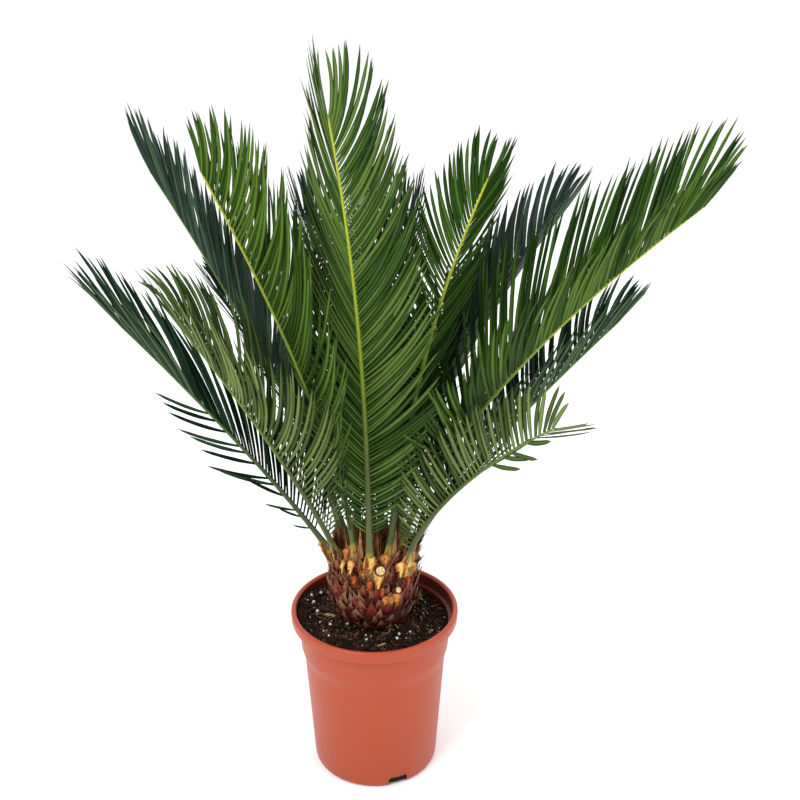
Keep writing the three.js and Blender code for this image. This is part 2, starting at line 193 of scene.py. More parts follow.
class Recipe:
    """A material in the making: a Principled shader and what feeds it."""

    def __init__(self, name: str) -> None:
        """Starts a material with a bare shader and its output."""
        self.material = bpy.data.materials.new(name)
        self.material.use_nodes = True
        self.tree = self.material.node_tree
        self.tree.nodes.clear()
        self.shader = self.node("ShaderNodeBsdfPrincipled")
        self.node("ShaderNodeOutputMaterial", inputs={"Surface": Wire(self, self.shader.outputs[0])})
        self.place = Wire(self, self.node("ShaderNodeTexCoord").outputs["Object"])

    def node(
        self,
        kind: str,
        settings: Mapping[str, Any] | None = None,
        inputs: Mapping[str | int, Value] | None = None,
    ) -> bpy.types.Node:
        """Adds a node.

        Args:
            kind: the node's type.
            settings: its own settings, set first. "stops" is a ramp's list of (place, colour).
            inputs: a value or a wire for each named or numbered socket.

        Returns:
            The node.
        """
        made = self.tree.nodes.new(kind)
        for name, value in (settings or {}).items():
            if name == "stops":
                elements = made.color_ramp.elements
                for extra in value[2:]:
                    elements.new(extra[0])
                for element, (place, colour) in zip(elements, value):
                    element.position, element.color = place, colour
            else:
                setattr(made, name, value)
        self.feed(made, inputs or {})
        return made

    def feed(self, node: bpy.types.Node, inputs: Mapping[str | int, Value]) -> None:
        """Links the wires to the node's sockets, and sets the plain values on them."""
        for name, value in inputs.items():
            if isinstance(value, Wire):
                self.tree.links.new(value.socket, node.inputs[name])
            else:
                node.inputs[name].default_value = value

    def finish(self, **inputs: Value) -> bpy.types.Material:
        """Feeds the shader, with _ for the space in a socket's name, and returns the material."""
        self.feed(self.shader, {name.replace("_", " "): value for name, value in inputs.items()})
        return self.material

    def drawn_out(self, share: float) -> Wire:
        """Object coordinates with the height times a small share, which draws a pattern out upwards."""
        inputs = {"Vector": self.place, "Scale": (1.0, 1.0, share)}
        return Wire(self, self.node("ShaderNodeMapping", {"vector_type": "POINT"}, inputs).outputs[0])

    def height(self, low: float, high: float) -> Wire:
        """How far up from one height to another a place lies, kept in 0 to 1."""
        upright = Wire(self, self.node("ShaderNodeSeparateXYZ", inputs={0: self.place}).outputs[2])
        return self.between(upright, low, high)

    def distance(self, centre: Sequence[float]) -> Wire:
        """How far a place lies from a point, in metres."""
        node = self.node("ShaderNodeVectorMath", {"operation": "DISTANCE"}, {0: self.place, 1: centre})
        return Wire(self, node.outputs["Value"])

    def noise(self, size: float, detail: float = 3.0, place: Wire | None = None) -> Wire:
        """Soft noise, 0 to 1, with blotches of about that size in metres."""
        inputs = {"Vector": place or self.place, "Scale": 1.0 / size, "Detail": detail, "Roughness": 0.55}
        return Wire(self, self.node("ShaderNodeTexNoise", inputs=inputs).outputs[0])

    def ramp(self, share: Wire, *stops: tuple[float, Colour]) -> Wire:
        """Colours along a share of 0 to 1."""
        return Wire(self, self.node("ShaderNodeValToRGB", {"stops": stops}, {0: share}).outputs[0])

    def between(self, value: Wire, low: float, high: float) -> Wire:
        """How far the value lies on the way from low to high, kept in 0 to 1."""
        node = self.node("ShaderNodeMapRange", {"clamp": True}, {0: value, 1: low, 2: high})
        return Wire(self, node.outputs[0])

    def mixed(self, share: Value, first: Value, second: Value) -> Wire:
        """Two colours mixed: the first where the share is 0, the second where it is 1."""
        node = self.node("ShaderNodeMix", {"data_type": "RGBA"}, {0: share, 6: first, 7: second})
        return Wire(self, node.outputs[2])

    def attribute(self, name: str) -> Wire:
        """The number that the mesh keeps for each point under that name."""
        node = self.node("ShaderNodeAttribute", {"attribute_name": name})
        return Wire(self, node.outputs["Fac"])

    def bump(self, height: Wire, depth: float, strength: float = 1.0) -> Wire:
        """A Normal input that stands up by depth, in metres, where the height is 1."""
        inputs = {"Height": height, "Distance": depth, "Strength": strength}
        return Wire(self, self.node("ShaderNodeBump", inputs=inputs).outputs[0])


class Finish(Protocol):
    """What a surface is finished with: something that can make its material."""

    def material(self) -> bpy.types.Material:
        """Makes the material."""


@functools.cache
def material_of(finish: Finish) -> bpy.types.Material:
    """The material of a finish, made once however many pieces wear it."""
    return finish.material()


@dataclass(frozen=True)
class LeafFinish:
    """A leaflet's skin: faintly mottled, with painted shade along its rolled margins and painted shade in the
    crowded middle of the crown.

    Attributes:
        heart_shade: how much painted shade darkens it in the crowded middle of the crown.
        MARGIN_SHADE: where the painted shade at a leaflet's sides begins and is full, from its middle to its
            side.
        CROWN: the middle of the crown.
        HEART_SHADE_SPAN: the distances from there at which the painted shade is full and has gone.
    """

    name: str
    colour: Colour
    darker: Colour
    roughness: float
    gloss: float = 0.1
    heart_shade: float = 0.7

    MARGIN_SHADE: ClassVar[Pair] = (0.2, 0.85)
    CROWN: ClassVar[Triple] = (0.0, 50 * MM, 300 * MM)
    HEART_SHADE_SPAN: ClassVar[Pair] = (50 * MM, 230 * MM)

    def material(self) -> bpy.types.Material:
        """Two greens in blotches, with dark green painted as shade at the margins and in the crowded middle
        of the crown.
        """
        recipe = Recipe(self.name)
        # Painted shade: the leaflet's sides darken towards a fifth of its green, as shadow between leaflets.
        margin_shade = recipe.between(recipe.attribute("across"), *self.MARGIN_SHADE)
        skin = recipe.mixed(recipe.noise(12 * MM), self.darker, self.colour)
        edged = recipe.mixed(margin_shade * 0.8, skin, faded(self.colour, 0.2))
        # Painted shade: darker near the middle of the crown, where the fronds crowd.
        inward = 1.0 - recipe.between(recipe.distance(self.CROWN), *self.HEART_SHADE_SPAN)
        return recipe.finish(
            Base_Color=recipe.mixed(inward * self.heart_shade, edged, faded(self.colour, 0.12)),
            Roughness=self.roughness,
            Specular_IOR_Level=self.gloss,
            Normal=recipe.bump(recipe.noise(1.2 * MM, 2.0), 0.15 * MM, 0.6),
        )


@dataclass(frozen=True)
class StalkFinish:
    """A midrib's skin: woolly brown at the foot, yellow where it swells, then green to yellow-green."""

    name: str
    stalk: Colour
    middle: Colour
    tip: Colour
    swollen: Colour = shade(222, 204, 96)

    WOOLLY: ClassVar[Colour] = shade(120, 74, 36)
    PEELED: ClassVar[Colour] = shade(226, 190, 104)
    SPECKLE: ClassVar[Colour] = shade(70, 88, 42)

    def material(self) -> bpy.types.Material:
        """Colours along the midrib, from the point value "along", with fine mottling."""
        recipe = Recipe(self.name)
        along = recipe.attribute("along") + (recipe.noise(6 * MM) - 0.5) * 0.012
        skin = recipe.ramp(
            along,
            (0.0, self.WOOLLY),
            (0.008, self.PEELED),
            (0.02, self.swollen),
            (0.048, self.stalk),
            (0.24, self.stalk),
            (0.46, self.middle),
            (0.84, self.tip),
        )
        speckle = recipe.mixed(recipe.noise(2.5 * MM) * 0.35, skin, self.SPECKLE)
        return recipe.finish(
            Base_Color=speckle,
            Roughness=0.42,
            Specular_IOR_Level=0.25,
            Normal=recipe.bump(recipe.noise(1.5 * MM), 0.2 * MM, 0.5),
        )


@dataclass(frozen=True)
class ScaleFinish:
    """An old leaf base: smooth and dark at its root, felted grey-brown towards its tip, with painted shade in
    the gaps at its root.
    """

    name: str
    root: Colour
    middle: Colour
    felt: Colour
    rim: Colour = shade(156, 114, 80)

    CRACKS: ClassVar[Colour] = shade(40, 16, 14)
    LOW_SHADE: ClassVar[Pair] = (170 * MM, 206 * MM)

    def material(self) -> bpy.types.Material:
        """Colours along the scale, broken up by fibres that run up it, with a paler frayed rim.

        Near the potting mix it is darkened by painted shade, between the two heights of LOW_SHADE ever less.
        """
        recipe = Recipe(self.name)
        fibres = recipe.noise(1.6 * MM, 4.0, recipe.drawn_out(0.22))
        blotches = recipe.noise(5 * MM)
        along = recipe.attribute("along") + (fibres - 0.5) * 0.4 + (blotches - 0.5) * 0.6
        # The first stop, a fifth of the root's colour, is painted shade in the gaps between the scales.
        skin = recipe.ramp(
            along, (0.16, faded(self.root, 0.2)), (0.36, self.root), (0.56, self.middle), (0.82, self.felt)
        )
        rim = recipe.between(recipe.attribute("across") + (fibres - 0.5) * 0.5, 0.62, 1.0)
        tip = recipe.between(recipe.attribute("along") + (blotches - 0.5) * 0.5, 0.3, 0.7)
        edged = recipe.mixed(rim * tip * 0.7, skin, self.rim)
        # Painted shade: darker towards the potting mix.
        low_shade = (1.0 - recipe.height(*self.LOW_SHADE)) * 0.74
        low_shaded = recipe.mixed(low_shade, edged, faded(self.root, 0.3))
        return recipe.finish(
            Base_Color=recipe.mixed(fibres * 0.45, low_shaded, self.CRACKS),
            Roughness=0.62 + blotches * 0.3,
            Specular_IOR_Level=0.15,
            Normal=recipe.bump(fibres, 0.7 * MM, 0.9),
        )


@dataclass(frozen=True)
class FibreFinish:
    """Dry, streaky plant matter: bracts, wool, roots, wood chips."""

    name: str
    light: Colour
    dark: Colour
    streak: float = 1.4 * MM
    relief: float = 0.4 * MM

    def material(self) -> bpy.types.Material:
        """Light and dark streaks that run up the piece."""
        recipe = Recipe(self.name)
        streaks = recipe.noise(self.streak, 4.0, recipe.drawn_out(0.2))
        contrast = recipe.ramp(streaks, (0.34, BLACK), (0.66, WHITE))
        return recipe.finish(
            Base_Color=recipe.mixed(contrast, self.dark, self.light),
            Roughness=0.85,
            Specular_IOR_Level=0.12,
            Normal=recipe.bump(streaks, self.relief, 0.8),
        )


@dataclass(frozen=True)
class FleshFinish:
    """Moist tissue where a leaf stalk was cut or peeled away."""

    name: str
    pale: Colour
    stain: Colour
    skin: Colour
    size: float

    def material(self) -> bpy.types.Material:
        """Pale flesh with soft stains, and torn brown skin at its sides and at its lower end."""
        recipe = Recipe(self.name)
        blotches = recipe.noise(self.size, 4.0)
        flesh = recipe.mixed(recipe.between(blotches, 0.36, 0.74), self.pale, self.stain)
        ragged = (blotches - 0.5) * 0.7
        side = recipe.between(recipe.attribute("across") + ragged, 0.25, 0.95)
        return recipe.finish(
            Base_Color=recipe.mixed(side, flesh, self.skin),
            Roughness=0.45,
            Specular_IOR_Level=0.2,
            Normal=recipe.bump(recipe.noise(1.1 * MM), 0.3 * MM, 0.6),
        )


@dataclass(frozen=True)
class GrainFinish:
    """Loose grains: peat crumbs, perlite."""

    name: str
    light: Colour
    dark: Colour
    size: float
    roughness: float = 0.9

    def material(self) -> bpy.types.Material:
        """Two shades in blotches of the given size, rough all over."""
        recipe = Recipe(self.name)
        blotches = recipe.noise(self.size, 4.0)
        return recipe.finish(
            Base_Color=recipe.mixed(recipe.between(blotches, 0.34, 0.66), self.dark, self.light),
            Roughness=self.roughness,
            Specular_IOR_Level=0.1,
            Normal=recipe.bump(recipe.noise(self.size * 0.5, 4.0), 0.5 * MM, 0.8),
        )


@dataclass(frozen=True)
class PlasticFinish:
    """Satin moulded plastic with faint flow marks that dull it in bands, and a few pale specks."""

    name: str = "terracotta_plastic"
    colour: Colour = shade(166, 69, 41)
    foot_colour: Colour = shade(154, 62, 29)
    speck: Colour = shade(226, 150, 128)

    FOOT: ClassVar[Pair] = (20 * MM, 150 * MM)

    def material(self) -> bpy.types.Material:
        """The colour, darker and warmer towards the foot and a little in the flow bands, with roughness that
        changes in tall soft bands.
        """
        recipe = Recipe(self.name)
        flow = recipe.noise(26 * MM, 2.0, recipe.drawn_out(0.2))
        grain = recipe.noise(0.9 * MM, 2.0)
        specks = recipe.ramp(recipe.noise(2.6 * MM, 1.0), (0.79, BLACK), (0.82, WHITE))
        low = 1.0 - recipe.height(*self.FOOT)
        plain = recipe.mixed(low * 0.7 + flow * 0.3, self.colour, self.foot_colour)
        return recipe.finish(
            Base_Color=recipe.mixed(specks * 0.7, plain, self.speck),
            Roughness=0.3 + flow * 0.16 + grain * 0.05,
            Specular_IOR_Level=0.32,
            Normal=recipe.bump(grain + flow * 2.0, 0.1 * MM, 0.35),
        )


@dataclass(frozen=True)
class StudioFinish:
    """The plain matt surface that the pot stands on."""

    name: str = "studio_floor"
    colour: Colour = shade(253, 253, 253)

    def material(self) -> bpy.types.Material:
        """One even colour."""
        return Recipe(self.name).finish(Base_Color=self.colour, Roughness=0.9)


# ---------------------------------------------------------------- surfaces


@dataclass
class Surface:
    """A set of points and the faces between them, with a finish slot for each face.

    Attributes:
        points: the places of the points, three numbers each.
        faces: arrays of corner numbers, one array for each count of corners.
        slots: for each array of faces, the finish slot of each face.
        along: for each point, how far along its piece it lies, 0 to 1.
        across: for each point, how far it lies from its section's middle to its side, 0 to 1.
    """

    points: Array
    faces: list[Array]
    slots: list[Array]
    along: Array
    across: Array

    @staticmethod
    def joined(parts: Sequence["Surface"]) -> "Surface":
        """All the parts as one surface."""
        starts = np.cumsum([0, *(len(part.points) for part in parts[:-1])])
        return Surface(
            np.concatenate([part.points for part in parts]),
            [faces + start for part, start in zip(parts, starts) for faces in part.faces],
            [slots for part in parts for slots in part.slots],
            np.concatenate([part.along for part in parts]),
            np.concatenate([part.across for part in parts]),
        )

    def triangles(self) -> int:
        """How many triangles the faces make."""
        return sum(len(faces) * (faces.shape[1] - 2) for faces in self.faces)

    def dent(self, wavelength: float, depth: float, seed: int) -> None:
        """Shifts each point along all three axes alike, by the depth times a field of ripples."""
        self.points += (ripples(self.points, wavelength, seed) * depth)[:, None]

    def piece(self, name: str, finishes: Sequence[Finish], crease: float = 40.0) -> bpy.types.Object:
        """Makes the Blender object.

        Args:
            name: the piece's name.
            finishes: one finish for each slot number.
            crease: edges that turn by more than this, in degrees, stay sharp.

        Returns:
            The object, with its place in its mesh.
        """
        mesh = bpy.data.meshes.new(name)
        mesh.vertices.add(len(self.points))
        mesh.vertices.foreach_set("co", self.points.astype(np.float32).ravel())
        corners = np.concatenate([faces.ravel() for faces in self.faces])
        sizes = np.concatenate([np.full(len(faces), faces.shape[1]) for faces in self.faces])
        mesh.loops.add(len(corners))
        mesh.loops.foreach_set("vertex_index", corners.astype(np.int32))
        mesh.polygons.add(len(sizes))
        starts = np.concatenate([[0], np.cumsum(sizes)[:-1]])
        mesh.polygons.foreach_set("loop_start", starts.astype(np.int32))
        mesh.polygons.foreach_set("material_index", np.concatenate(self.slots).astype(np.int32))
        for label, values in (("along", self.along), ("across", self.across)):
            mesh.attributes.new(label, "FLOAT", "POINT").data.foreach_set("value", values.astype(np.float32))
        for finish in finishes:
            mesh.materials.append(material_of(finish))
        mesh.update(calc_edges=True)
        mesh.shade_smooth()
        mesh.set_sharp_from_angle(angle=np.radians(crease))
        made = bpy.data.objects.new(name, mesh)
        bpy.context.scene.collection.objects.link(made)
        log.info("%s: %d triangles", name, self.triangles())
        return made


def stacked(rings: Array, slots: Any = 0, along: Array | None = None, across: Any = 0.0) -> Surface:
    """Closed tubes of stacked rings. Each ring's points run anticlockwise, seen from the tube's far end.

    Args:
        rings: the points, as tubes by rings by points of a ring by three.
        slots: the finish slot of each tube, or of each face as tubes by gaps between rings by points.
        along: how far along its tube each ring lies, spread over tubes by rings; even if not given.
        across: how far from the middle each point of a ring lies.

    Returns:
        The surface, with a flat face over each end.
    """
    tubes, count, around = rings.shape[:3]
    number = np.arange(tubes * count * around).reshape(tubes, count, around)
    after = np.roll(number, -1, axis=2)
    walls = np.stack([number[:, :-1], after[:, :-1], after[:, 1:], number[:, 1:]], axis=-1)
    slots = slots[:, None, None] if np.ndim(slots) == 1 else slots
    spread = np.broadcast_to(slots, (tubes, count - 1, around))
    ends = np.concatenate([number[:, 0, ::-1], number[:, -1]])
    end_slots = np.concatenate([spread[:, 0, 0], spread[:, -1, 0]])
    share = np.linspace(0.0, 1.0, count) if along is None else along
    share = np.broadcast_to(share, (tubes, count))
    return Surface(
        rings.reshape(-1, 3),
        [walls.reshape(-1, 4), ends],
        [spread.ravel(), end_slots],
        np.repeat(share.ravel(), around),
        np.tile(np.broadcast_to(across, around), tubes * count),
    )


def swept(
    paths: Array,
    facing: Array,
    section: Array,
    half_width: Any,
    half_depth: Any,
    slots: Any = 0,
    along: Array | None = None,
) -> Surface:
    """Carries a closed section along many paths at once.

    At each point of a path the section stands square to the path. Its first axis lies across, its
    second axis towards the side that the piece faces, and each is multiplied by its own size there.

    Args:
        paths: the points, as paths by points by three.
        facing: roughly which way the upper side faces, spread over the paths' points.
        section: the outline, anticlockwise, as points by two.
        half_width: the size of the section's first axis, spread over paths by points.
        half_depth: the size of its second axis, spread in the same way.
        slots: the finish slots, as for stacked().
        along: the share along, as for stacked().

    Returns:
        The closed surface.
    """
    count = paths.shape[:2]
    ahead = unit(np.gradient(paths, axis=1))
    across = unit(np.cross(np.broadcast_to(facing, paths.shape), ahead))
    upward = np.cross(ahead, across)
    wide = np.broadcast_to(half_width, count)[..., None, None] * section[:, 0, None]
    deep = np.broadcast_to(half_depth, count)[..., None, None] * section[:, 1, None]
    rings = paths[:, :, None] + across[:, :, None] * wide + upward[:, :, None] * deep
    return stacked(rings, slots, along, np.abs(section[:, 0]))


def rounded(around: int) -> Array:
    """A circle of radius one as a section of that many points."""
    angle = np.arange(around) * 2 * np.pi / around
    return np.stack([np.cos(angle), np.sin(angle)], axis=-1)


def turned(profile: Array, around: int) -> Array:
    """The rings of a lathed shape: each radius and height of the profile goes round the axis."""
    bearing = np.arange(around) * 360.0 / around
    return polar(bearing, profile[:, 0, None], profile[:, 1, None])[None]


@dataclass(frozen=True)
class Lump:
    """The grid of a rounded grain: rings from pole to pole of a ball of radius one.

    Attributes:
        POLE: the angle between a pole and the first ring, in radians.
    """

    rings: int
    around: int

    POLE: ClassVar[float] = 0.12

    def scattered(
        self, centres: Array, radii: Array, rng: Chance, rough: float, slots: Any = 0
    ) -> Surface:
        """Many grains, each turned at random and dented.

        Each point of a grain lies on an ellipsoid, pushed in or out by a random share.

        Args:
            centres: where the grains lie.
            radii: three half-sizes for each grain.
            rng: the source of chance.
            rough: how far the points are pushed, as a share of the radius.
            slots: the finish slot of each grain.

        Returns:
            The closed surface of them all.
        """
        count = len(centres)
        fall = np.linspace(self.POLE, np.pi - self.POLE, self.rings)[:, None]
        turn = np.arange(self.around) * 2 * np.pi / self.around
        ball = np.stack(
            [np.sin(fall) * np.cos(turn), np.sin(fall) * np.sin(turn), -np.cos(fall) + 0 * turn], axis=-1
        )
        dents = 1.0 + rough * rng.uniform(-1, 1, (count, self.rings, self.around, 1))
        first = unit(rng.normal(size=(count, 3)))
        second = unit(np.cross(first, unit(rng.normal(size=(count, 3)))))
        axes = np.stack([first, second, np.cross(first, second)], axis=1)
        local = ball[None] * dents * radii[:, None, None]
        points = np.einsum("krac,kcd->krad", local, axes) + centres[:, None, None]
        return stacked(points, slots)


def ride(piece: bpy.types.Object, slot: str, *nodes: str) -> None:
    """The piece moves with the plant, and the imported parts of the nodes, if any are given, are hidden."""
    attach(piece, "root")
    if nodes:
        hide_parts(*nodes)


# ---------------------------------------------------------------- fronds


class Hand(Enum):
    """The side of the midrib that a row of leaflets stands on, seen from its foot."""

    LEFT = 1
    RIGHT = -1


@dataclass(frozen=True)
class LeafTone:
    """The greens of one frond: two shades above, two below, and the pale roots of its leaflets.

    Attributes:
        MOTTLED: the brightness of a shade's darker blotches.
        DULLER: how much rougher the undersides are.
        GLOSS_BELOW: the share of the gloss that they have.
    """

    name: str
    above: tuple[Colour, Colour]
    below: tuple[Colour, Colour]
    root: Colour
    roughness: float = 0.45
    gloss: float = 0.05
    # How much painted shade darkens the leaflets in the crowded middle of the crown.
    heart_shade: float = 0.7

    MOTTLED: ClassVar[float] = 0.8
    DULLER: ClassVar[float] = 0.12
    GLOSS_BELOW: ClassVar[float] = 0.4
    ROOT_ROUGHNESS: ClassVar[float] = 0.45

    def finishes(self) -> list[Finish]:
        """The finishes in the order of the leaflets' slots."""
        above = ("above", self.above, self.roughness, self.gloss)
        below = ("below", self.below, self.roughness + self.DULLER, self.gloss * self.GLOSS_BELOW)
        made = []
        for side, colours, roughness, gloss in (above, below):
            for number, colour in enumerate(colours):
                name, darker = f"{self.name}_{side}_{number}", faded(colour, self.MOTTLED)
                made.append(LeafFinish(name, colour, darker, roughness, gloss, self.heart_shade))
        made.append(LeafFinish(f"{self.name}_root", self.root, self.below[0], self.ROOT_ROUGHNESS))
        return made


class Tone(Enum):
    """The kinds of frond on this plant, by age and colour. SHADED is the young greens darkened as painted
    shade.
    """

    YOUNG = LeafTone(
        "young",
        above=(shade(72, 110, 34), shade(38, 70, 18)),
        below=(shade(86, 118, 44), shade(52, 82, 28)),
        root=shade(104, 130, 38),
    )
    # Painted shade: the young greens darkened, for the frond at the front right.
    SHADED = LeafTone(
        "shaded",
        above=(shade(50, 84, 24), shade(25, 52, 12)),
        below=(shade(68, 102, 38), shade(40, 70, 20)),
        root=shade(100, 126, 38),
    )
    FRESH = LeafTone(
        "fresh",
        above=(shade(56, 90, 32), shade(28, 54, 16)),
        below=(shade(90, 117, 54), shade(55, 84, 35)),
        root=shade(104, 128, 40),
        heart_shade=0.0,
    )
    GLOSSY = LeafTone(
        "glossy",
        above=(shade(40, 70, 56), shade(16, 40, 28)),
        below=(shade(60, 90, 64), shade(32, 54, 38)),
        root=shade(64, 88, 50),
        roughness=0.33,
        gloss=0.2,
    )
    DEEP = LeafTone(
        "deep",
        above=(shade(48, 78, 56), shade(20, 44, 28)),
        below=(shade(80, 104, 72), shade(44, 66, 44)),
        root=shade(66, 86, 42),
        heart_shade=0.45,
    )
    OLIVE = LeafTone(
        "olive",
        above=(shade(86, 110, 54), shade(48, 70, 34)),
        below=(shade(120, 140, 78), shade(80, 100, 50)),
        root=shade(104, 120, 58),
        heart_shade=0.4,
    )


class Stalk(Enum):
    """How bright a frond's midrib is."""

    BRIGHT = StalkFinish("stalk_bright", shade(80, 88, 46), shade(124, 148, 38), shade(178, 184, 34))
    GREEN = StalkFinish(
        "stalk_green", shade(74, 84, 42), shade(104, 130, 44), shade(136, 158, 50), shade(176, 164, 72)
    )
    DULL = StalkFinish(
        "stalk_dull", shade(62, 80, 46), shade(72, 96, 44), shade(96, 118, 50), shade(112, 96, 54)
    )


@dataclass(frozen=True)
class Strays:
    """The part of a row that is sparse and hangs loose.

    Attributes:
        hand: the row.
        start: where the part starts, as a share of the row's length.
        end: where it ends.
        VEE: the angle of its leaflets above the flat.
        ANGLE: the angle between them and the midrib.
        LENGTH: their length as a share of the usual one.
        KEPT: which of every GROUP leaflets are left.
    """

    hand: Hand
    start: float
    end: float

    VEE: ClassVar[float] = -60.0
    ANGLE: ClassVar[float] = 35.0
    LENGTH: ClassVar[float] = 0.55
    GROUP: ClassVar[int] = 9
    KEPT: ClassVar[tuple[int, ...]] = (1, 4, 6)

    def loose(self, along: Array) -> Array:
        """1 for the leaflets that hang loose and 0 for the rest."""
        return ((along > self.start) & (along < self.end)).astype(float)

    def left(self, loose: Array) -> Array:
        """Whether each leaflet is there."""
        return (loose == 0) | np.isin(np.arange(len(loose)) % self.GROUP, self.KEPT)


@dataclass(frozen=True)
class Unevenness:
    """How far leaflets stray from the rule of their row, as standard deviations.

    Attributes:
        place: the most that one is off along the midrib, as a share of the gap.
        bunch_vee: how far a bunch of neighbours leans together out of the V, in degrees.
        bunch_angle: the same for the angle with the midrib.
        vee: how far each leans by itself, in degrees.
        angle: the same for the angle with the midrib, and what a loose one adds to it.
        length: as a share, and what a loose one adds to it.
        bend: as a share.
        sag: as a share of the leaflet's length.
        tilt: in degrees.
        width: as a share.
    """

    place: float = 0.12
    bunch_vee: float = 1.6
    bunch_angle: float = 1.2
    vee: float = 1.6
    angle: Pair = (1.3, 5.0)
    length: Pair = (0.03, 0.1)
    bend: float = 0.12
    sag: float = 0.03
    tilt: float = 3.0
    width: float = 0.05


@dataclass(frozen=True)
class Frond:
    """One feather-shaped leaf: a midrib that arches out of the crown, and two rows of leaflets.

    The midrib leaves its foot at the elevation "rise", which falls by "droop" times the share of its
    length to "power", while its heading turns evenly by "sweep". The rows stand in a V on its upper
    side. Angles are in degrees and lengths in metres.

    Attributes:
        foot: the midrib's place on the crown, as bearing, radius and height.
        roll: the turn of the V about the midrib, at its foot and at its tip.
        leaf: the longest leaflet's length.
        vee: how far the rows stand above the flat, at the foot and at the tip.
        forward: the angle between leaflet and midrib at the foot, the middle and the tip.
        taper: the last leaflet's length as a share of the longest.
        curve: how much a leaflet bends towards the frond's tip, at the foot and at the tip.
        sag: how much a leaflet's tip falls back from the V.
        tilt: how far a leaflet is turned about its own line, towards the frond's tip.
        gap: the distance along the midrib from one leaflet to the next.
        width: a leaflet's full width.
        strays: the part of a row that hangs loose, if any does.
        BARE: the share of the midrib below the first leaflet.
        SUNK: how far the midrib reaches down into the crown.
        SWELL: the length over which the midrib's foot swells.
        LONGEST: the length at which a midrib's colours are all used.
        STATIONS: the shares of a leaflet's length at which its sections stand.
        BLADE: a leaflet's section: rolled edges, a groove above and a keel below.
        UPPER_FACES: how many of the section's sides, from its first, are above.
        ROOT_SLOT: the finish slot of a leaflet's root.
        BUNCHED: how much a leaflet shares the lean of its neighbours.
    """

    name: str
    heading: float
    sweep: float
    rise: float
    droop: float
    power: float
    length: float
    foot: Triple
    tone: Tone
    stalk: Stalk
    roll: Pair = (0.0, 0.0)
    leaf: float = 96 * MM
    vee: Pair = (48.0, 42.0)
    forward: Triple = (76.0, 46.0, 28.0)
    taper: float = 0.6
    curve: Pair = (0.45, 0.45)
    sag: float = 0.0
    tilt: float = 12.0
    gap: float = 4.9 * MM
    width: float = 3.9 * MM
    strays: Strays | None = None

    BARE: ClassVar[float] = 0.09
    SUNK: ClassVar[float] = 9 * MM
    SWELL: ClassVar[float] = 11 * MM
    LONGEST: ClassVar[float] = 460 * MM
    STATIONS: ClassVar[Array] = np.array(
        [0, 0.02, 0.08, 0.17, 0.29, 0.42, 0.55, 0.67, 0.78, 0.87, 0.94, 1.0]
    )
    BLADE: ClassVar[Array] = np.array(
        [(1, -0.9), (0.55, 0.35), (0, 0), (-0.55, 0.35), (-1, -0.9), (-0.6, -1.0), (0, -1.5), (0.6, -1.0)]
    )
    UPPER_FACES: ClassVar[int] = 4
    ROOT_SLOT: ClassVar[int] = 4
    BUNCHED: ClassVar[Array] = np.array([0.5, 0.8, 1.0, 0.8, 0.5]) / 1.7
    UNEVEN: ClassVar[Unevenness] = Unevenness()

    def spine(self, share: Array) -> tuple[Array, Array, Array, Array]:
        """Places and directions along the midrib.

        The place is the running sum of short steps along the direction that the elevation and the
        heading give. Below the foot it runs straight on into the crown.

        Args:
            share: shares of the length, from a little under 0 to 1.

        Returns:
            The places, the directions ahead, those to the left in the V's frame, and those to its top.
        """
        grid = np.linspace(0.0, 1.0, 241)
        climb = np.radians(self.rise - self.droop * grid**self.power)
        heading = np.radians(self.heading + self.sweep * grid)
        ahead = np.stack(
            [np.cos(climb) * np.cos(heading), np.cos(climb) * np.sin(heading), np.sin(climb)], axis=-1
        )
        steps = (ahead[1:] + ahead[:-1]) / 2 * self.length / (len(grid) - 1)
        place = polar(*self.foot) + np.concatenate([np.zeros((1, 3)), np.cumsum(steps, axis=0)])
        left = np.stack([-np.sin(heading), np.cos(heading), 0 * heading], axis=-1)
        upper = np.cross(ahead, left)
        roll = np.radians(between(*self.roll, grid))[:, None]
        side = left * np.cos(roll) + upper * np.sin(roll)
        top = upper * np.cos(roll) - left * np.sin(roll)

        def at(values: Array) -> Array:
            """The grid's values at the shares that are asked for."""
            return np.stack([np.interp(share, grid, values[:, axis]) for axis in range(3)], axis=-1)

        below = np.minimum(share, 0.0)[..., None] * self.length
        return at(place) + below * ahead[0], at(ahead), at(side), at(top)

    def radius(self, share: Array) -> Array:
        """The midrib's half width: a slow taper, with a swollen foot."""
        foot = np.exp(-np.maximum(share, 0) * self.length / self.SWELL)
        return (0.9 + 2.6 * (1 - np.clip(share, 0, 1)) ** 1.4 + 2.9 * foot) * MM

    def midrib(self) -> Surface:
        """The midrib: a rounded bar with a groove on each upper side, ending in a point.

        Its "along" is the distance from the foot as a share of the longest midrib.
        """
        foot, blade = np.linspace(0, 0.1, 9)[1:] - 0.01, np.linspace(0.12, 1, 44)
        share = np.concatenate([[-self.SUNK / self.length], foot, blade])
        place, _, _, top = self.spine(share)
        circle = rounded(12)
        angle = np.arctan2(circle[:, 1], circle[:, 0])
        bulge = 1.0 - 0.12 * np.cos(4 * angle) * (circle[:, 1] > -0.2)
        section = circle * bulge[:, None]
        width = self.radius(share) * np.where(share >= 1, 0.3, 1.0)
        along = np.clip(share, 0, 1) * self.length / self.LONGEST
        return swept(place[None], top[None], section, width, 0.86 * width, along=along)

    def leaflet_length(self, along: Array) -> Array:
        """Leaflet length: short at the foot, full from a third of the way, shorter at the tip."""
        growing = 1 - (1 - np.clip(along / 0.3, 0, 1)) ** 1.8
        ending = 1 - (1 - self.taper) * np.clip((along - 0.45) / 0.55, 0, 1) ** 1.5
        return self.leaf * (0.16 + 0.84 * growing) * ending * (1 - 0.35 * smooth(along, 0.94, 1.0))

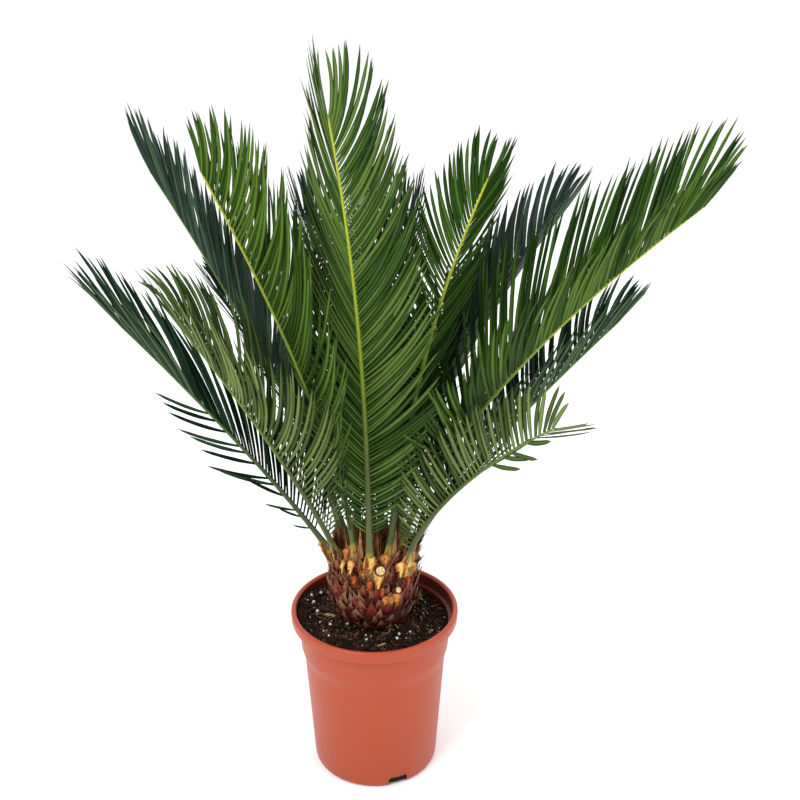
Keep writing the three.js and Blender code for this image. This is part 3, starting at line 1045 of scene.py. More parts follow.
    def leaflet_angle(self, along: Array) -> Array:
        """The angle between a leaflet and the midrib, in degrees. The last ones close up."""
        foot, middle, tip = self.forward
        late = np.clip((along - 0.5) / 0.5, 0, 1) ** 1.3
        open_angle = np.where(along < 0.5, between(foot, middle, along / 0.5), between(middle, tip, late))
        return open_angle * (1 - 0.4 * smooth(along, 0.86, 1.0))

    def leaflet_outline(self) -> Array:
        """A leaflet's width at its stations: narrow at the root, full at a third, a point at the end."""
        root = 0.62 + 0.38 * smooth(self.STATIONS, 0.0, 0.4)
        point = np.clip((self.STATIONS - 0.78) / 0.22, 0, 1) ** 1.5
        return np.maximum(root * (1 - 0.2 * smooth(self.STATIONS, 0.3, 0.8) - 0.8 * point), 0.03)

    def row(self, hand: Hand, rng: Chance) -> Surface:
        """One row of leaflets, each a narrow blade with rolled edges, a groove above and a keel below.

        A leaflet starts on the midrib at its own angle, bends towards the frond's tip with the square
        of the distance, and sags with its cube. It is turned about its own line, so that each one
        laps the next as slats do. Neighbours lean together in loose bunches, and strays hang loose.

        Args:
            hand: the side of the midrib.
            rng: the source of chance.

        Returns:
            The row, with a slot for each of two shades above, two below and the pale root.
        """
        uneven = self.UNEVEN
        count = round((1 - self.BARE) * self.length / self.gap)
        along = (np.arange(count) + 0.5 + rng.uniform(-uneven.place, uneven.place, count)) / count
        loose = np.zeros(count)
        if self.strays and self.strays.hand is hand:
            loose = self.strays.loose(along)
            left = self.strays.left(loose)
            along, loose, count = along[left], loose[left], int(left.sum())
        share = self.BARE + (1 - self.BARE) * along
        place, ahead, side, top = self.spine(share)
        bunch = np.convolve(rng.normal(0, 1, count + len(self.BUNCHED) - 1), self.BUNCHED, "valid")
        vee = between(between(*self.vee, along), Strays.VEE, loose) + uneven.bunch_vee * bunch
        vee = np.radians(vee + rng.normal(0, uneven.vee, count))[:, None]
        angle = between(self.leaflet_angle(along), Strays.ANGLE, loose) + uneven.bunch_angle * bunch
        angle = np.radians(angle + rng.normal(0, uneven.angle[0] + uneven.angle[1] * loose))[:, None]
        out = side * hand.value * np.cos(vee) + top * np.sin(vee)
        above = top * np.cos(vee) - side * hand.value * np.sin(vee)
        start = ahead * np.cos(angle) + out * np.sin(angle)
        inward = ahead * np.sin(angle) - out * np.cos(angle)
        length = self.leaflet_length(along) * between(1.0, Strays.LENGTH, loose)
        length = (length * rng.normal(1, uneven.length[0] + uneven.length[1] * loose))[:, None, None]
        bend = (between(*self.curve, along) * rng.normal(1, uneven.bend, count))[:, None, None]
        sag = (self.sag + rng.normal(0, uneven.sag, count))[:, None, None]
        reach = self.STATIONS[None, :, None]
        root = (place + out * 0.55 * self.radius(share)[:, None])[:, None]
        paths = root + length * (
            reach * start[:, None] + 0.5 * bend * reach**2 * inward[:, None] - sag * reach**3 * above[:, None]
        )
        tilt = np.radians(self.tilt + rng.normal(0, uneven.tilt, count))[:, None]
        facing = (above * np.cos(tilt) + inward * np.sin(tilt))[:, None]
        crowd = between(1.0, 0.92, smooth(along, 0.6, 1.0)) * between(0.6, 1.0, smooth(along, 0.0, 0.2))
        size = (crowd * rng.normal(1, uneven.width, count))[:, None]
        half = self.width / 2 * self.leaflet_outline()[None] * size
        upper = np.arange(len(self.BLADE)) < self.UPPER_FACES
        shades = rng.integers(0, 2, count)[:, None, None]
        slots = np.where(upper, shades, shades + 2)
        slots = np.broadcast_to(slots, (count, len(self.STATIONS) - 1, len(self.BLADE))).copy()
        slots[:, 0] = self.ROOT_SLOT
        return swept(paths, facing, self.BLADE, half, 0.22 * half + 0.05 * MM, slots)

    def build(self, seed: int) -> None:
        """Makes the frond's two pieces, and hides the imported part of its node."""
        rng = np.random.default_rng(seed)
        node = f"frond_{self.name}"
        leaflets = Surface.joined([self.row(hand, rng) for hand in Hand])
        ride(leaflets.piece(f"{self.name}_leaflets", self.tone.value.finishes()), "frond", node)
        ride(self.midrib().piece(f"{self.name}_midrib", [self.stalk.value]), "frond", node)


FRONDS = (
    Frond(
        "front", -93.8, -35.5, 89.5, 13, 0.74, 451 * MM, (-95, 38 * MM, 244 * MM), Tone.FRESH,
        Stalk.BRIGHT, roll=(-16, -3), leaf=114 * MM, vee=(-14, 36), forward=(58, 42, 42), taper=0.68,
        curve=(0.2, 0.5), sag=-0.03, tilt=-8, gap=4.2 * MM,
    ),
    Frond(
        "left_bright", -178, -8, 94.5, 31, 0.35, 405 * MM, (-125, 32 * MM, 249 * MM), Tone.YOUNG,
        Stalk.BRIGHT, roll=(-25, 40), leaf=128 * MM, vee=(24, 52), forward=(84, 52, 58), taper=0.5,
        curve=(0.5, 0.5), gap=4.6 * MM,
    ),
    Frond(
        "left_back", 164, -4, 82.7, 27.5, 0.35, 410 * MM, (156, 30 * MM, 248 * MM), Tone.GLOSSY,
        Stalk.DULL, roll=(40, 24), leaf=108 * MM, vee=(24, 36), forward=(86, 40, 32), taper=0.76,
        curve=(0.1, 0.1), sag=-0.03,
    ),
    Frond(
        "left_low", 180, 6, 61, 11.8, 0.4, 316 * MM, (177, 43 * MM, 240 * MM), Tone.DEEP, Stalk.DULL,
        roll=(20, 0), leaf=118 * MM, vee=(44, 28), forward=(76, 32, 32), taper=0.7, curve=(0.2, 0.3),
        strays=Strays(Hand.LEFT, 0, 0.62),
    ),
    Frond(
        "left_curled", -156, -7, 74.2, 17, 0.36, 310 * MM, (-159, 37 * MM, 243 * MM), Tone.OLIVE,
        Stalk.GREEN, roll=(14, -38), leaf=104 * MM, vee=(54, 46), forward=(70, 52, 40), taper=0.5,
        curve=(0.3, 1.05), sag=-0.03, gap=5.1 * MM, width=3.7 * MM,
    ),
    Frond(
        "back_left", 122, -1, 90, 29, 0.66, 335 * MM, (132, 24 * MM, 249 * MM), Tone.GLOSSY, Stalk.DULL,
        leaf=92 * MM,
    ),
    Frond(
        "back_centre", 72, 0, 84, 20, 0.9, 330 * MM, (74, 22 * MM, 249 * MM), Tone.GLOSSY, Stalk.DULL,
        leaf=92 * MM,
    ),
    Frond(
        "right_bright", -41, 0, 82, 17.7, 1.4, 410 * MM, (-62, 31 * MM, 249 * MM), Tone.SHADED,
        Stalk.BRIGHT, roll=(-12, -42), leaf=86 * MM, vee=(38, 38), forward=(76, 58, 30), taper=0.62,
        curve=(0.1, 0.34), sag=-0.03, tilt=-8,
    ),
    Frond(
        "right_back", 31, -2, 94.9, 50.2, 0.4, 369 * MM, (40, 31 * MM, 248 * MM), Tone.GLOSSY, Stalk.DULL,
        leaf=104 * MM, vee=(48, 45), forward=(76, 41, 36), taper=0.62, curve=(0.4, 0.4), width=4.6 * MM,
    ),
    Frond(
        "right_long", -20, -7.5, 88.4, 45.1, 0.35, 463 * MM, (-14, 28 * MM, 249 * MM), Tone.YOUNG,
        Stalk.BRIGHT, roll=(28, 13), leaf=132 * MM, vee=(47, 36), forward=(74, 43, 50), taper=0.64,
        curve=(0.15, 0.15), sag=0.02, gap=4.3 * MM, width=4.2 * MM,
    ),
    Frond(
        "right_low", 13.6, 10, 80, 43.4, 0.24, 310 * MM, (12, 40 * MM, 243 * MM), Tone.DEEP, Stalk.GREEN,
        roll=(-10, -10), leaf=84 * MM, vee=(46, 46), forward=(76, 58, 46), taper=0.7, curve=(0.4, 0.5),
        width=4 * MM,
    ),
    Frond(
        "right_arched", -30.2, -1.4, 95.5, 59, 0.33, 242 * MM, (-38, 41 * MM, 241 * MM), Tone.OLIVE,
        Stalk.GREEN, roll=(10, -70), leaf=68 * MM, vee=(37, 24), forward=(66, 64, 56), taper=0.64,
        curve=(0.3, 0.2), strays=Strays(Hand.LEFT, 0.6, 0.88), gap=5 * MM, width=5.2 * MM,
    ),
    Frond(
        "upright", 100, 0, 90, 12, 1, 315 * MM, (110, 8 * MM, 251 * MM), Tone.GLOSSY, Stalk.DULL,
        leaf=90 * MM,
    ),
    Frond(
        "back_low_right", 57, 0, 74, 40, 0.6, 300 * MM, (62, 41 * MM, 242 * MM), Tone.DEEP, Stalk.DULL,
        leaf=86 * MM,
    ),
    Frond(
        "back_low_centre", 94, 0, 74, 42, 0.6, 306 * MM, (96, 41 * MM, 242 * MM), Tone.DEEP, Stalk.DULL,
        leaf=86 * MM,
    ),
    Frond(
        "back_low_left", 134, 0, 74, 40, 0.6, 300 * MM, (140, 42 * MM, 241 * MM), Tone.DEEP, Stalk.DULL,
        leaf=86 * MM,
    ),
)


# ---------------------------------------------------------------- trunk


class ScaleLook(Enum):
    """The colours of leaf bases, in the order of their slots: four common ones and three rarer."""

    MAHOGANY = ScaleFinish("scale_mahogany", shade(96, 20, 20), shade(110, 50, 38), shade(134, 106, 84))
    BROWN = ScaleFinish("scale_brown", shade(104, 36, 24), shade(126, 78, 50), shade(150, 120, 88))
    PURPLE = ScaleFinish("scale_purple", shade(78, 16, 30), shade(92, 50, 54), shade(116, 94, 84))
    RUST = ScaleFinish("scale_rust", shade(134, 38, 24), shade(140, 68, 40), shade(132, 100, 74))
    SCRAPED = ScaleFinish(
        "scale_scraped", shade(226, 100, 34), shade(196, 56, 24), shade(120, 62, 44), shade(96, 44, 28)
    )
    RED = ScaleFinish(
        "scale_red", shade(128, 28, 20), shade(128, 48, 32), shade(122, 72, 58), shade(146, 92, 66)
    )
    GOLDEN = ScaleFinish(
        "scale_golden", shade(140, 64, 34), shade(158, 100, 58), shade(168, 126, 86), shade(196, 150, 96)
    )

    @property
    def slot(self) -> int:
        """Its slot number."""
        return list(ScaleLook).index(self)


@dataclass(frozen=True)
class Trunk:
    """The short, pineapple-shaped trunk: a core under lapping leaf bases, with bracts at its crown.

    The tables give bearings in degrees and lengths in millimetres.

    Attributes:
        outline: the core's radius and height, from its foot in the potting mix to its top.
        scales: how many leaf bases clothe it.
        scale_feet: the heights between which they start.
        scale_length, scale_half, scale_depth: the least and the most of their length, half width and
            thickness, and so on for the bracts, the wool's hairs and the frayed fibres.
        bract_count, hairs, frays: how many of those there are.
        rim: the distances from the axis between which bracts and hairs get shorter.
        wedges: sound yellow tissue that shows under a leaf stalk, as bearing, top, width and length.
        amber: older tissue that has darkened to amber, given in the same way.
        orange: raw scars that have turned orange-red, given in the same way.
        cuts: where a leaf stalk was cut: the cut face's bearing, distance from the axis, height and radius.
        spines: thin dark spines that stand out at the shoulders, as bearing, height and length.
        scraped: places whose leaf bases are scraped to orange, as bearing and height.
        reddened: places whose leaf bases are red, given in the same way.
        peaks: single tall bracts, as bearing, distance from the axis, height of the foot and length.
        SCALE: a leaf base's section.
        GUTTER: a bract's section.
    """

    outline: Table = (
        (22, 150), (28, 168), (36, 180), (40, 195), (41, 215), (41, 230), (39, 240), (30, 247), (0.5, 251),
    )
    scales: int = 265
    scale_feet: Pair = (158 * MM, 243 * MM)
    scale_length: Pair = (15 * MM, 30 * MM)
    scale_half: Pair = (4.6 * MM, 9.2 * MM)
    scale_depth: Pair = (1.7 * MM, 2.9 * MM)
    bract_count: int = 120
    bract_length: Pair = (18 * MM, 36 * MM)
    bract_half: Pair = (2.2 * MM, 3.6 * MM)
    hairs: int = 2600
    hair_length: Pair = (5 * MM, 20 * MM)
    frays: int = 170
    fray_length: Pair = (6 * MM, 16 * MM)
    rim: Pair = (31 * MM, 38 * MM)
    wedges: Table = (
        (-131, 253, 5, 17), (-119, 255, 9, 14), (-83, 248, 13, 20), (-54, 251, 12, 15),
        (-92, 261, 10, 16), (24, 250, 8, 14), (118, 249, 8, 15),
    )
    amber: Table = (
        (-75, 218, 10, 8), (-61, 220, 13, 12), (-68, 217, 9, 8), (-75, 263, 11, 14), (-126, 266, 9, 12),
    )
    orange: Table = (
        (-94.4, 236, 8, 11), (-79, 229, 6, 9), (-113, 239, 7, 9), (-44, 232, 5, 7),
    )
    cuts: Table = (
        (-81.5, 50, 250.5, 4.7), (-60.5, 50, 225.5, 3.2), (28, 50, 226, 4.4), (140, 50, 220, 4),
    )
    spines: Table = (
        (-3, 252, 21), (4, 247, 14), (-9, 234, 17), (2, 240, 12), (181, 242, 12), (187, 236, 10),
        (176, 228, 12), (192, 247, 9), (70, 244, 18), (112, 236, 15),
    )
    scraped: Table = ((-103, 246), (150, 228))
    reddened: Table = ((-113, 236), (-79, 226), (-43, 229), (-141, 213), (-74, 205), (-90, 205), (40, 222))
    peaks: Table = (
        (-110, 37, 264, 36), (-59, 40, 259, 40), (-83, 25, 250, 44), (-139, 34, 250, 30),
        (-30, 34, 250, 32), (-101, 24, 250, 38), (60, 33, 250, 34), (150, 34, 250, 30),
    )

    SCALE: ClassVar[Array] = np.array(
        [(1, -0.1), (0.66, 0.5), (0.24, 0.85), (0, 1.05), (-0.24, 0.85), (-0.66, 0.5), (-1, -0.1),
         (-0.6, -0.55), (0, -0.7), (0.6, -0.55)]
    )
    GUTTER: ClassVar[Array] = np.array(
        [(1, -0.6), (0.6, 0.35), (0, 0.75), (-0.6, 0.35), (-1, -0.6), (-0.55, -0.25), (0, 0.1), (0.55, -0.25)]
    )

    def core_radius(self, height: Array) -> Array:
        """The core's radius at each height."""
        radii, heights = np.array(self.outline).T * MM
        return np.interp(height, heights, radii)

    def crown_height(self, radius: Array) -> Array:
        """The height of the crown's felt at each distance from the axis."""
        return np.interp(radius, [0, 30 * MM, 38 * MM, 46 * MM], np.array([250, 246, 240, 227]) * MM)

    def core(self) -> None:
        """The core: the outline, rounded by closer rings, with a rough woody surface."""
        height = np.linspace(self.outline[0][1], self.outline[-1][1], 60) * MM
        rings = turned(np.stack([self.core_radius(height), height], axis=-1), 96)
        swell = ripples(rings, 7 * MM, Seed.DENTED_CORE) * 0.9 * MM
        outward = unit(rings * np.array([1.0, 1.0, 0.0]))
        finish = FibreFinish("core_bark", shade(78, 40, 26), shade(30, 12, 9))
        ride(stacked(rings + outward * swell[..., None]).piece("trunk_core", [finish]), "caudex", "caudex")

    def leaf_bases(self) -> None:
        """The old leaf bases, in the loose spiral of a pine cone.

        Each starts under the one below, climbs the core and lifts its pointed tip. Its outline is a
        kite, widest at a third of its height, that narrows to a drawn-out tip, and its thickness falls
        towards the tip. The upper ones are slimmer, and stand up round the feet of the leaf stalks.
        """
        rng = np.random.default_rng(Seed.LEAF_BASES)
        count = self.scales
        order = (np.arange(count) + 0.5) / count
        low = between(*self.scale_feet, order**0.76) + rng.normal(0, 2.2 * MM, count)
        bearing = np.arange(count) * GOLDEN_TURN + rng.normal(0, 4.5, count)
        tall = rng.uniform(*self.scale_length, count)
        share = np.linspace(0, 1, 11)
        height = low[:, None] + tall[:, None] * share
        lift = rng.uniform(0.4, 1.7, count)[:, None]
        stand = -3.2 * MM + lift * 6.4 * MM * share**1.3 + 1.8 * MM * np.sin(np.pi * share)
        lean = rng.normal(0, 7.0, count)[:, None] * share
        seat = np.maximum(self.core_radius(height), 40.5 * MM * smooth(low, 170 * MM, 215 * MM)[:, None])
        paths = polar(bearing[:, None] + lean, seat + stand, height)
        facing = polar(bearing, 1.0, 0.25)[:, None]
        widest = 0.34
        narrowing = (1 - np.clip((share - widest) / (1 - widest), 0, 1)) ** 1.1
        kite = np.where(share < widest, 0.72 + 0.28 * share / widest, narrowing)
        slim = between(1.0, 0.62, smooth(low, 198 * MM, 224 * MM))
        half = (rng.uniform(*self.scale_half, count) * slim)[:, None] * np.maximum(kite, 0.03)
        depth = rng.uniform(*self.scale_depth, count)[:, None] * (1 - 0.8 * share)
        kinds = rng.choice(4, count, p=[0.42, 0.3, 0.14, 0.14])
        golden = (low > 216 * MM) & (rng.uniform(0, 1, count) < 0.42)
        kinds = np.where(golden, ScaleLook.GOLDEN.slot, kinds)
        middle = polar(bearing, self.core_radius(low), low + tall * 0.5)
        for look, places in ((ScaleLook.SCRAPED, self.scraped), (ScaleLook.RED, self.reddened)):
            where, height = columns(places)
            marks = polar(where, self.core_radius(height), height)
            away = np.linalg.norm(middle[:, None] - marks, axis=-1)
            kinds[np.argmin(away, axis=0)] = look.slot
        surface = swept(paths, facing, self.SCALE, half, depth, kinds, share)
        surface.dent(3.5 * MM, 0.55 * MM, Seed.DENTED_SCALES)
        finishes = [look.value for look in ScaleLook]
        ride(surface.piece("leaf_bases", finishes, crease=60), "caudex", "caudex")

    def flesh(self) -> None:
        """The wedges of bared tissue: broad above, pointed below, almost flush with the leaf bases."""
        groups = (self.wedges, self.amber, self.orange)
        where, top, wide, tall = (column[:, None] for column in columns(sum(groups, ())))
        kinds = np.repeat([0, 1, 2], [len(group) for group in groups])
        share = np.linspace(0, 1, 11)
        height = top - tall * share
        proud = (1.4 + 1.4 * np.sin(np.pi * np.clip(share + 0.15, 0, 1))) * MM
        rim = np.interp(top, [230 * MM, 260 * MM], [47 * MM, 43.5 * MM])
        paths = polar(where, np.maximum(self.core_radius(height), rim - 3 * MM * (1 - share)) + proud, height)
        widest = 0.2
        narrowing = (1 - np.clip((share - widest) / (1 - widest), 0, 1)) ** 0.85
        outline = np.where(share < widest, 0.78 + 0.22 * share / widest, narrowing)
        half = wide / 2 * np.maximum(outline, 0.04)
        depth = 1.8 * MM * (1 - 0.6 * share)
        surface = swept(paths, polar(where, 1.0, 0.0), self.SCALE, half, depth, kinds)
        surface.dent(2.4 * MM, 0.9 * MM, Seed.DENTED_FLESH)
        finishes = [
            FleshFinish(
                "yellow_flesh", shade(222, 190, 108), shade(206, 146, 58), shade(132, 66, 30), 4 * MM
            ),
            FleshFinish("amber_flesh", shade(196, 128, 54), shade(150, 70, 32), shade(92, 36, 24), 4 * MM),
            FleshFinish("orange_flesh", shade(190, 84, 18), shade(116, 18, 8), shade(78, 26, 20), 3 * MM),
        ]
        ride(surface.piece("yellow_wedges", finishes, crease=60), "caudex")

    def flanges(self, fronds: Sequence[Frond]) -> None:
        """The golden flanges on each flank of a stalk's foot: broad at the crown, torn and brown outside.

        Args:
            fronds: the fronds. The innermost ones have no flanges.
        """
        share = np.linspace(0, 1, 9)
        pieces = []
        for frond in (frond for frond in fronds if frond.foot[1] > 20 * MM):
            spot = between(-8 * MM, 18 * MM, share) / frond.length
            place, ahead, _, _ = frond.spine(spot)
            outward = np.broadcast_to(polar(frond.foot[0], 1.0, 0.25), ahead.shape)
            flank = unit(np.cross(outward, ahead))
            half = 4.6 * MM * np.maximum((1 - share) ** 0.7, 0.05)
            away = 0.7 * frond.radius(spot) + 0.5 * half
            for hand in Hand:
                path = place + outward * 3 * MM + flank * (hand.value * away)[:, None]
                pieces.append(swept(path[None], outward[None], self.SCALE, half[None], 0.35 * half[None]))
        surface = Surface.joined(pieces)
        surface.dent(2.2 * MM, 1.1 * MM, Seed.DENTED_FLANGES)
        finish = FleshFinish(
            "golden_flange", shade(206, 156, 66), shade(166, 98, 42), shade(104, 52, 28), 9 * MM
        )
        ride(surface.piece("stalk_flanges", [finish], crease=60), "caudex")

    def cut_stalks(self) -> None:
        """Cut leaf stalks: short plugs with a dark raised skin round a pale cut face, tilted up."""
        where, radius, height, size = columns(self.cuts)
        reach = np.array([-11.0, -1.0, 0.0, 0.1, -0.5, -0.55]) * MM
        spread = np.array([1.2, 1.18, 1.12, 0.94, 0.9, 0.04])
        axis = unit(polar(where, 0.86, 0.5))
        paths = polar(where, radius, height)[:, None] + axis[:, None] * reach[:, None]
        across = unit(np.cross(UP, axis))
        upward = np.cross(axis, across)
        ring = rounded(20)
        wide = (size[:, None] * spread)[..., None, None]
        round_it = across[:, None, None] * ring[:, 0, None] + upward[:, None, None] * ring[:, 1, None]
        slots = np.array([0, 0, 0, 0, 1])[None, :, None]
        finishes = [
            FibreFinish("stub_skin", shade(104, 58, 30), shade(44, 22, 12)),
            FleshFinish("cut_face", shade(226, 204, 156), shade(120, 84, 50), shade(196, 160, 106), 1.5 * MM),
        ]
        surface = stacked(paths[:, :, None] + wide * round_it, slots)
        ride(surface.piece("cut_stalks", finishes, crease=50), "caudex")

    def bracts(self, stalks: Array) -> None:
        """Papery bracts between the leaf stalks: gutter-shaped, pointed, the outer ones short.

        Args:
            stalks: points on the midribs near the crown, which the bracts keep clear of.
        """
        rng = np.random.default_rng(Seed.BRACTS)
        count = self.bract_count
        order = (np.arange(count) + 0.5) / count
        bearing = np.arange(count) * GOLDEN_TURN
        radius = between(6 * MM, 45 * MM, np.sqrt(order))
        low = self.crown_height(radius)
        tall = rng.uniform(*self.bract_length, count) * between(1.0, 0.42, smooth(radius, *self.rim))
        peak_bearing, peak_radius, peak_low, peak_tall = columns(self.peaks)
        bearing, radius = np.concatenate([bearing, peak_bearing]), np.concatenate([radius, peak_radius])
        low, tall = np.concatenate([low, peak_low - 8 * MM]), np.concatenate([tall, peak_tall])
        count = len(bearing)
        share = np.linspace(0, 1, 9)
        splay = rng.uniform(0.2, 1.2, count) * 0.2 * radius / (44 * MM)
        twist = rng.normal(0, 4, count)[:, None] * share
        out = radius[:, None] + (tall * splay)[:, None] * share**1.4
        paths = polar(bearing[:, None] + twist, out, low[:, None] + tall[:, None] * share)
        clear = np.linalg.norm(paths[:, 5][:, None] - stalks[None], axis=-1).min(axis=1) > 6 * MM
        half = rng.uniform(*self.bract_half, count)[:, None] * np.maximum((1 - share) ** 0.9, 0.03)
        facing = polar(bearing, 1.0, 0.0)[:, None]
        kinds = rng.choice(3, count, p=[0.2, 0.45, 0.35])
        kinds[-len(peak_tall):] = 0
        paths, facing, half, kinds = paths[clear], facing[clear], half[clear], kinds[clear]
        surface = swept(paths, facing, self.GUTTER, half, 0.4 * half, kinds)
        finishes = [
            FibreFinish("bract_tan", shade(166, 122, 84), shade(86, 50, 32)),
            FibreFinish("bract_brown", shade(128, 82, 48), shade(52, 28, 18)),
            FibreFinish("bract_rust", shade(140, 76, 42), shade(64, 28, 18)),
        ]
        ride(surface.piece("bracts", finishes, crease=60), "caudex")

    def wool(self) -> None:
        """Brown wool between the stalks' feet: short curved hairs that stand up at random."""
        rng = np.random.default_rng(Seed.WOOL)
        count = self.hairs
        bearing = rng.uniform(0, 360, count)
        radius = 45 * MM * np.sqrt(rng.uniform(0.02, 1, count))
        start = polar(bearing, radius, self.crown_height(radius) - 1 * MM)
        lean = unit(polar(bearing, radius / (80 * MM), 1.0) + rng.normal(0, 0.3, (count, 3)))
        bow = rng.normal(0, 0.4, (count, 3))
        length = rng.uniform(*self.hair_length, count) * between(1.0, 0.55, smooth(radius, *self.rim))
        share = np.linspace(0, 1, 5)[None, :, None]
        curve = lean[:, None] * share + bow[:, None] * share**2 * 0.5
        paths = start[:, None] + length[:, None, None] * curve
        thick = rng.uniform(0.2, 0.42, count)[:, None] * MM * (1 - 0.7 * share[..., 0])
        facing = unit(rng.normal(size=(count, 1, 3)))
        kinds = rng.choice(3, count, p=[0.5, 0.3, 0.2])
        finishes = [
            FibreFinish("wool_brown", shade(124, 78, 42), shade(66, 38, 22)),
            FibreFinish("wool_dark", shade(74, 40, 24), shade(34, 18, 12)),
            FibreFinish("wool_tan", shade(186, 132, 80), shade(132, 80, 46)),
        ]
        surface = swept(paths, facing, rounded(3), thick, thick, kinds)
        ride(surface.piece("crown_wool", finishes), "caudex")

    def frayed(self) -> None:
        """Torn fibres that stand off the leaf bases: long, thin, bowed, mostly upright."""
        rng = np.random.default_rng(Seed.FRAY)
        count = self.frays
        bearing = rng.normal(0, 60, count)
        low = between(190, 252, rng.uniform(0, 1, count) ** 0.25) * MM
        tall = rng.uniform(*self.fray_length, count)
        share = np.linspace(0, 1, 7)
        height = low[:, None] + tall[:, None] * share
        turn = rng.normal(0, 4, count)[:, None] * share + rng.normal(0, 3, count)[:, None] * share**2
        rim = np.interp(height, [170 * MM, 200 * MM, 235 * MM, 260 * MM], np.array([38, 44, 45, 41]) * MM)
        off = rng.uniform(-1.0, 1.6, count)[:, None] + rng.uniform(0.5, 4.0, count)[:, None] * share**2
        paths = polar(bearing[:, None] + turn, rim + off * MM, height)
        thick = rng.uniform(0.16, 0.42, count)[:, None] * MM * (1 - 0.7 * share)
        kinds = rng.choice(3, count, p=[0.45, 0.3, 0.25])
        finishes = [
            FibreFinish("fray_tan", shade(176, 124, 80), shade(122, 74, 44)),
            FibreFinish("fray_rust", shade(166, 88, 42), shade(104, 46, 24)),
            FibreFinish("fray_dark", shade(84, 34, 24), shade(42, 18, 14)),
        ]
        facing = polar(bearing, 1.0, 0.0)[:, None]
        surface = swept(paths, facing, rounded(4), 1.6 * thick, thick, kinds)
        ride(surface.piece("frayed_fibres", finishes), "caudex")

    def side_spines(self) -> None:
        """Thin dark spines that stand out and up at the trunk's shoulders."""
        rng = np.random.default_rng(Seed.SPINES)
        where, height, length = columns(self.spines)
        share = np.linspace(0, 1, 7)[None, :, None]
        base = polar(where, 42 * MM, height)[:, None]
        out = polar(where, 0.6, 0.0)[:, None]
        climb = UP * rng.uniform(0.6, 0.95, len(where))[:, None, None]
        paths = base + length[:, None, None] * (out * share + climb * share**1.3)
        thick = 1.1 * MM * (1 - 0.85 * share[..., 0])
        finish = FibreFinish("spine_dark", shade(72, 62, 50), shade(34, 28, 24))
        ride(swept(paths, out, rounded(5), thick, thick).piece("side_spines", [finish]), "caudex")

    def build(self, fronds: Sequence[Frond]) -> None:
        """Makes the trunk's pieces in order."""
        near = np.linspace(0.0, 0.14, 24)
        stalks = np.concatenate([frond.spine(near)[0] for frond in fronds])
        self.core()
        self.leaf_bases()
        self.flesh()
        self.flanges(fronds)
        self.cut_stalks()
        self.bracts(stalks)
        self.wool()
        self.frayed()
        self.side_spines()


# ---------------------------------------------------------------- pot and potting mix


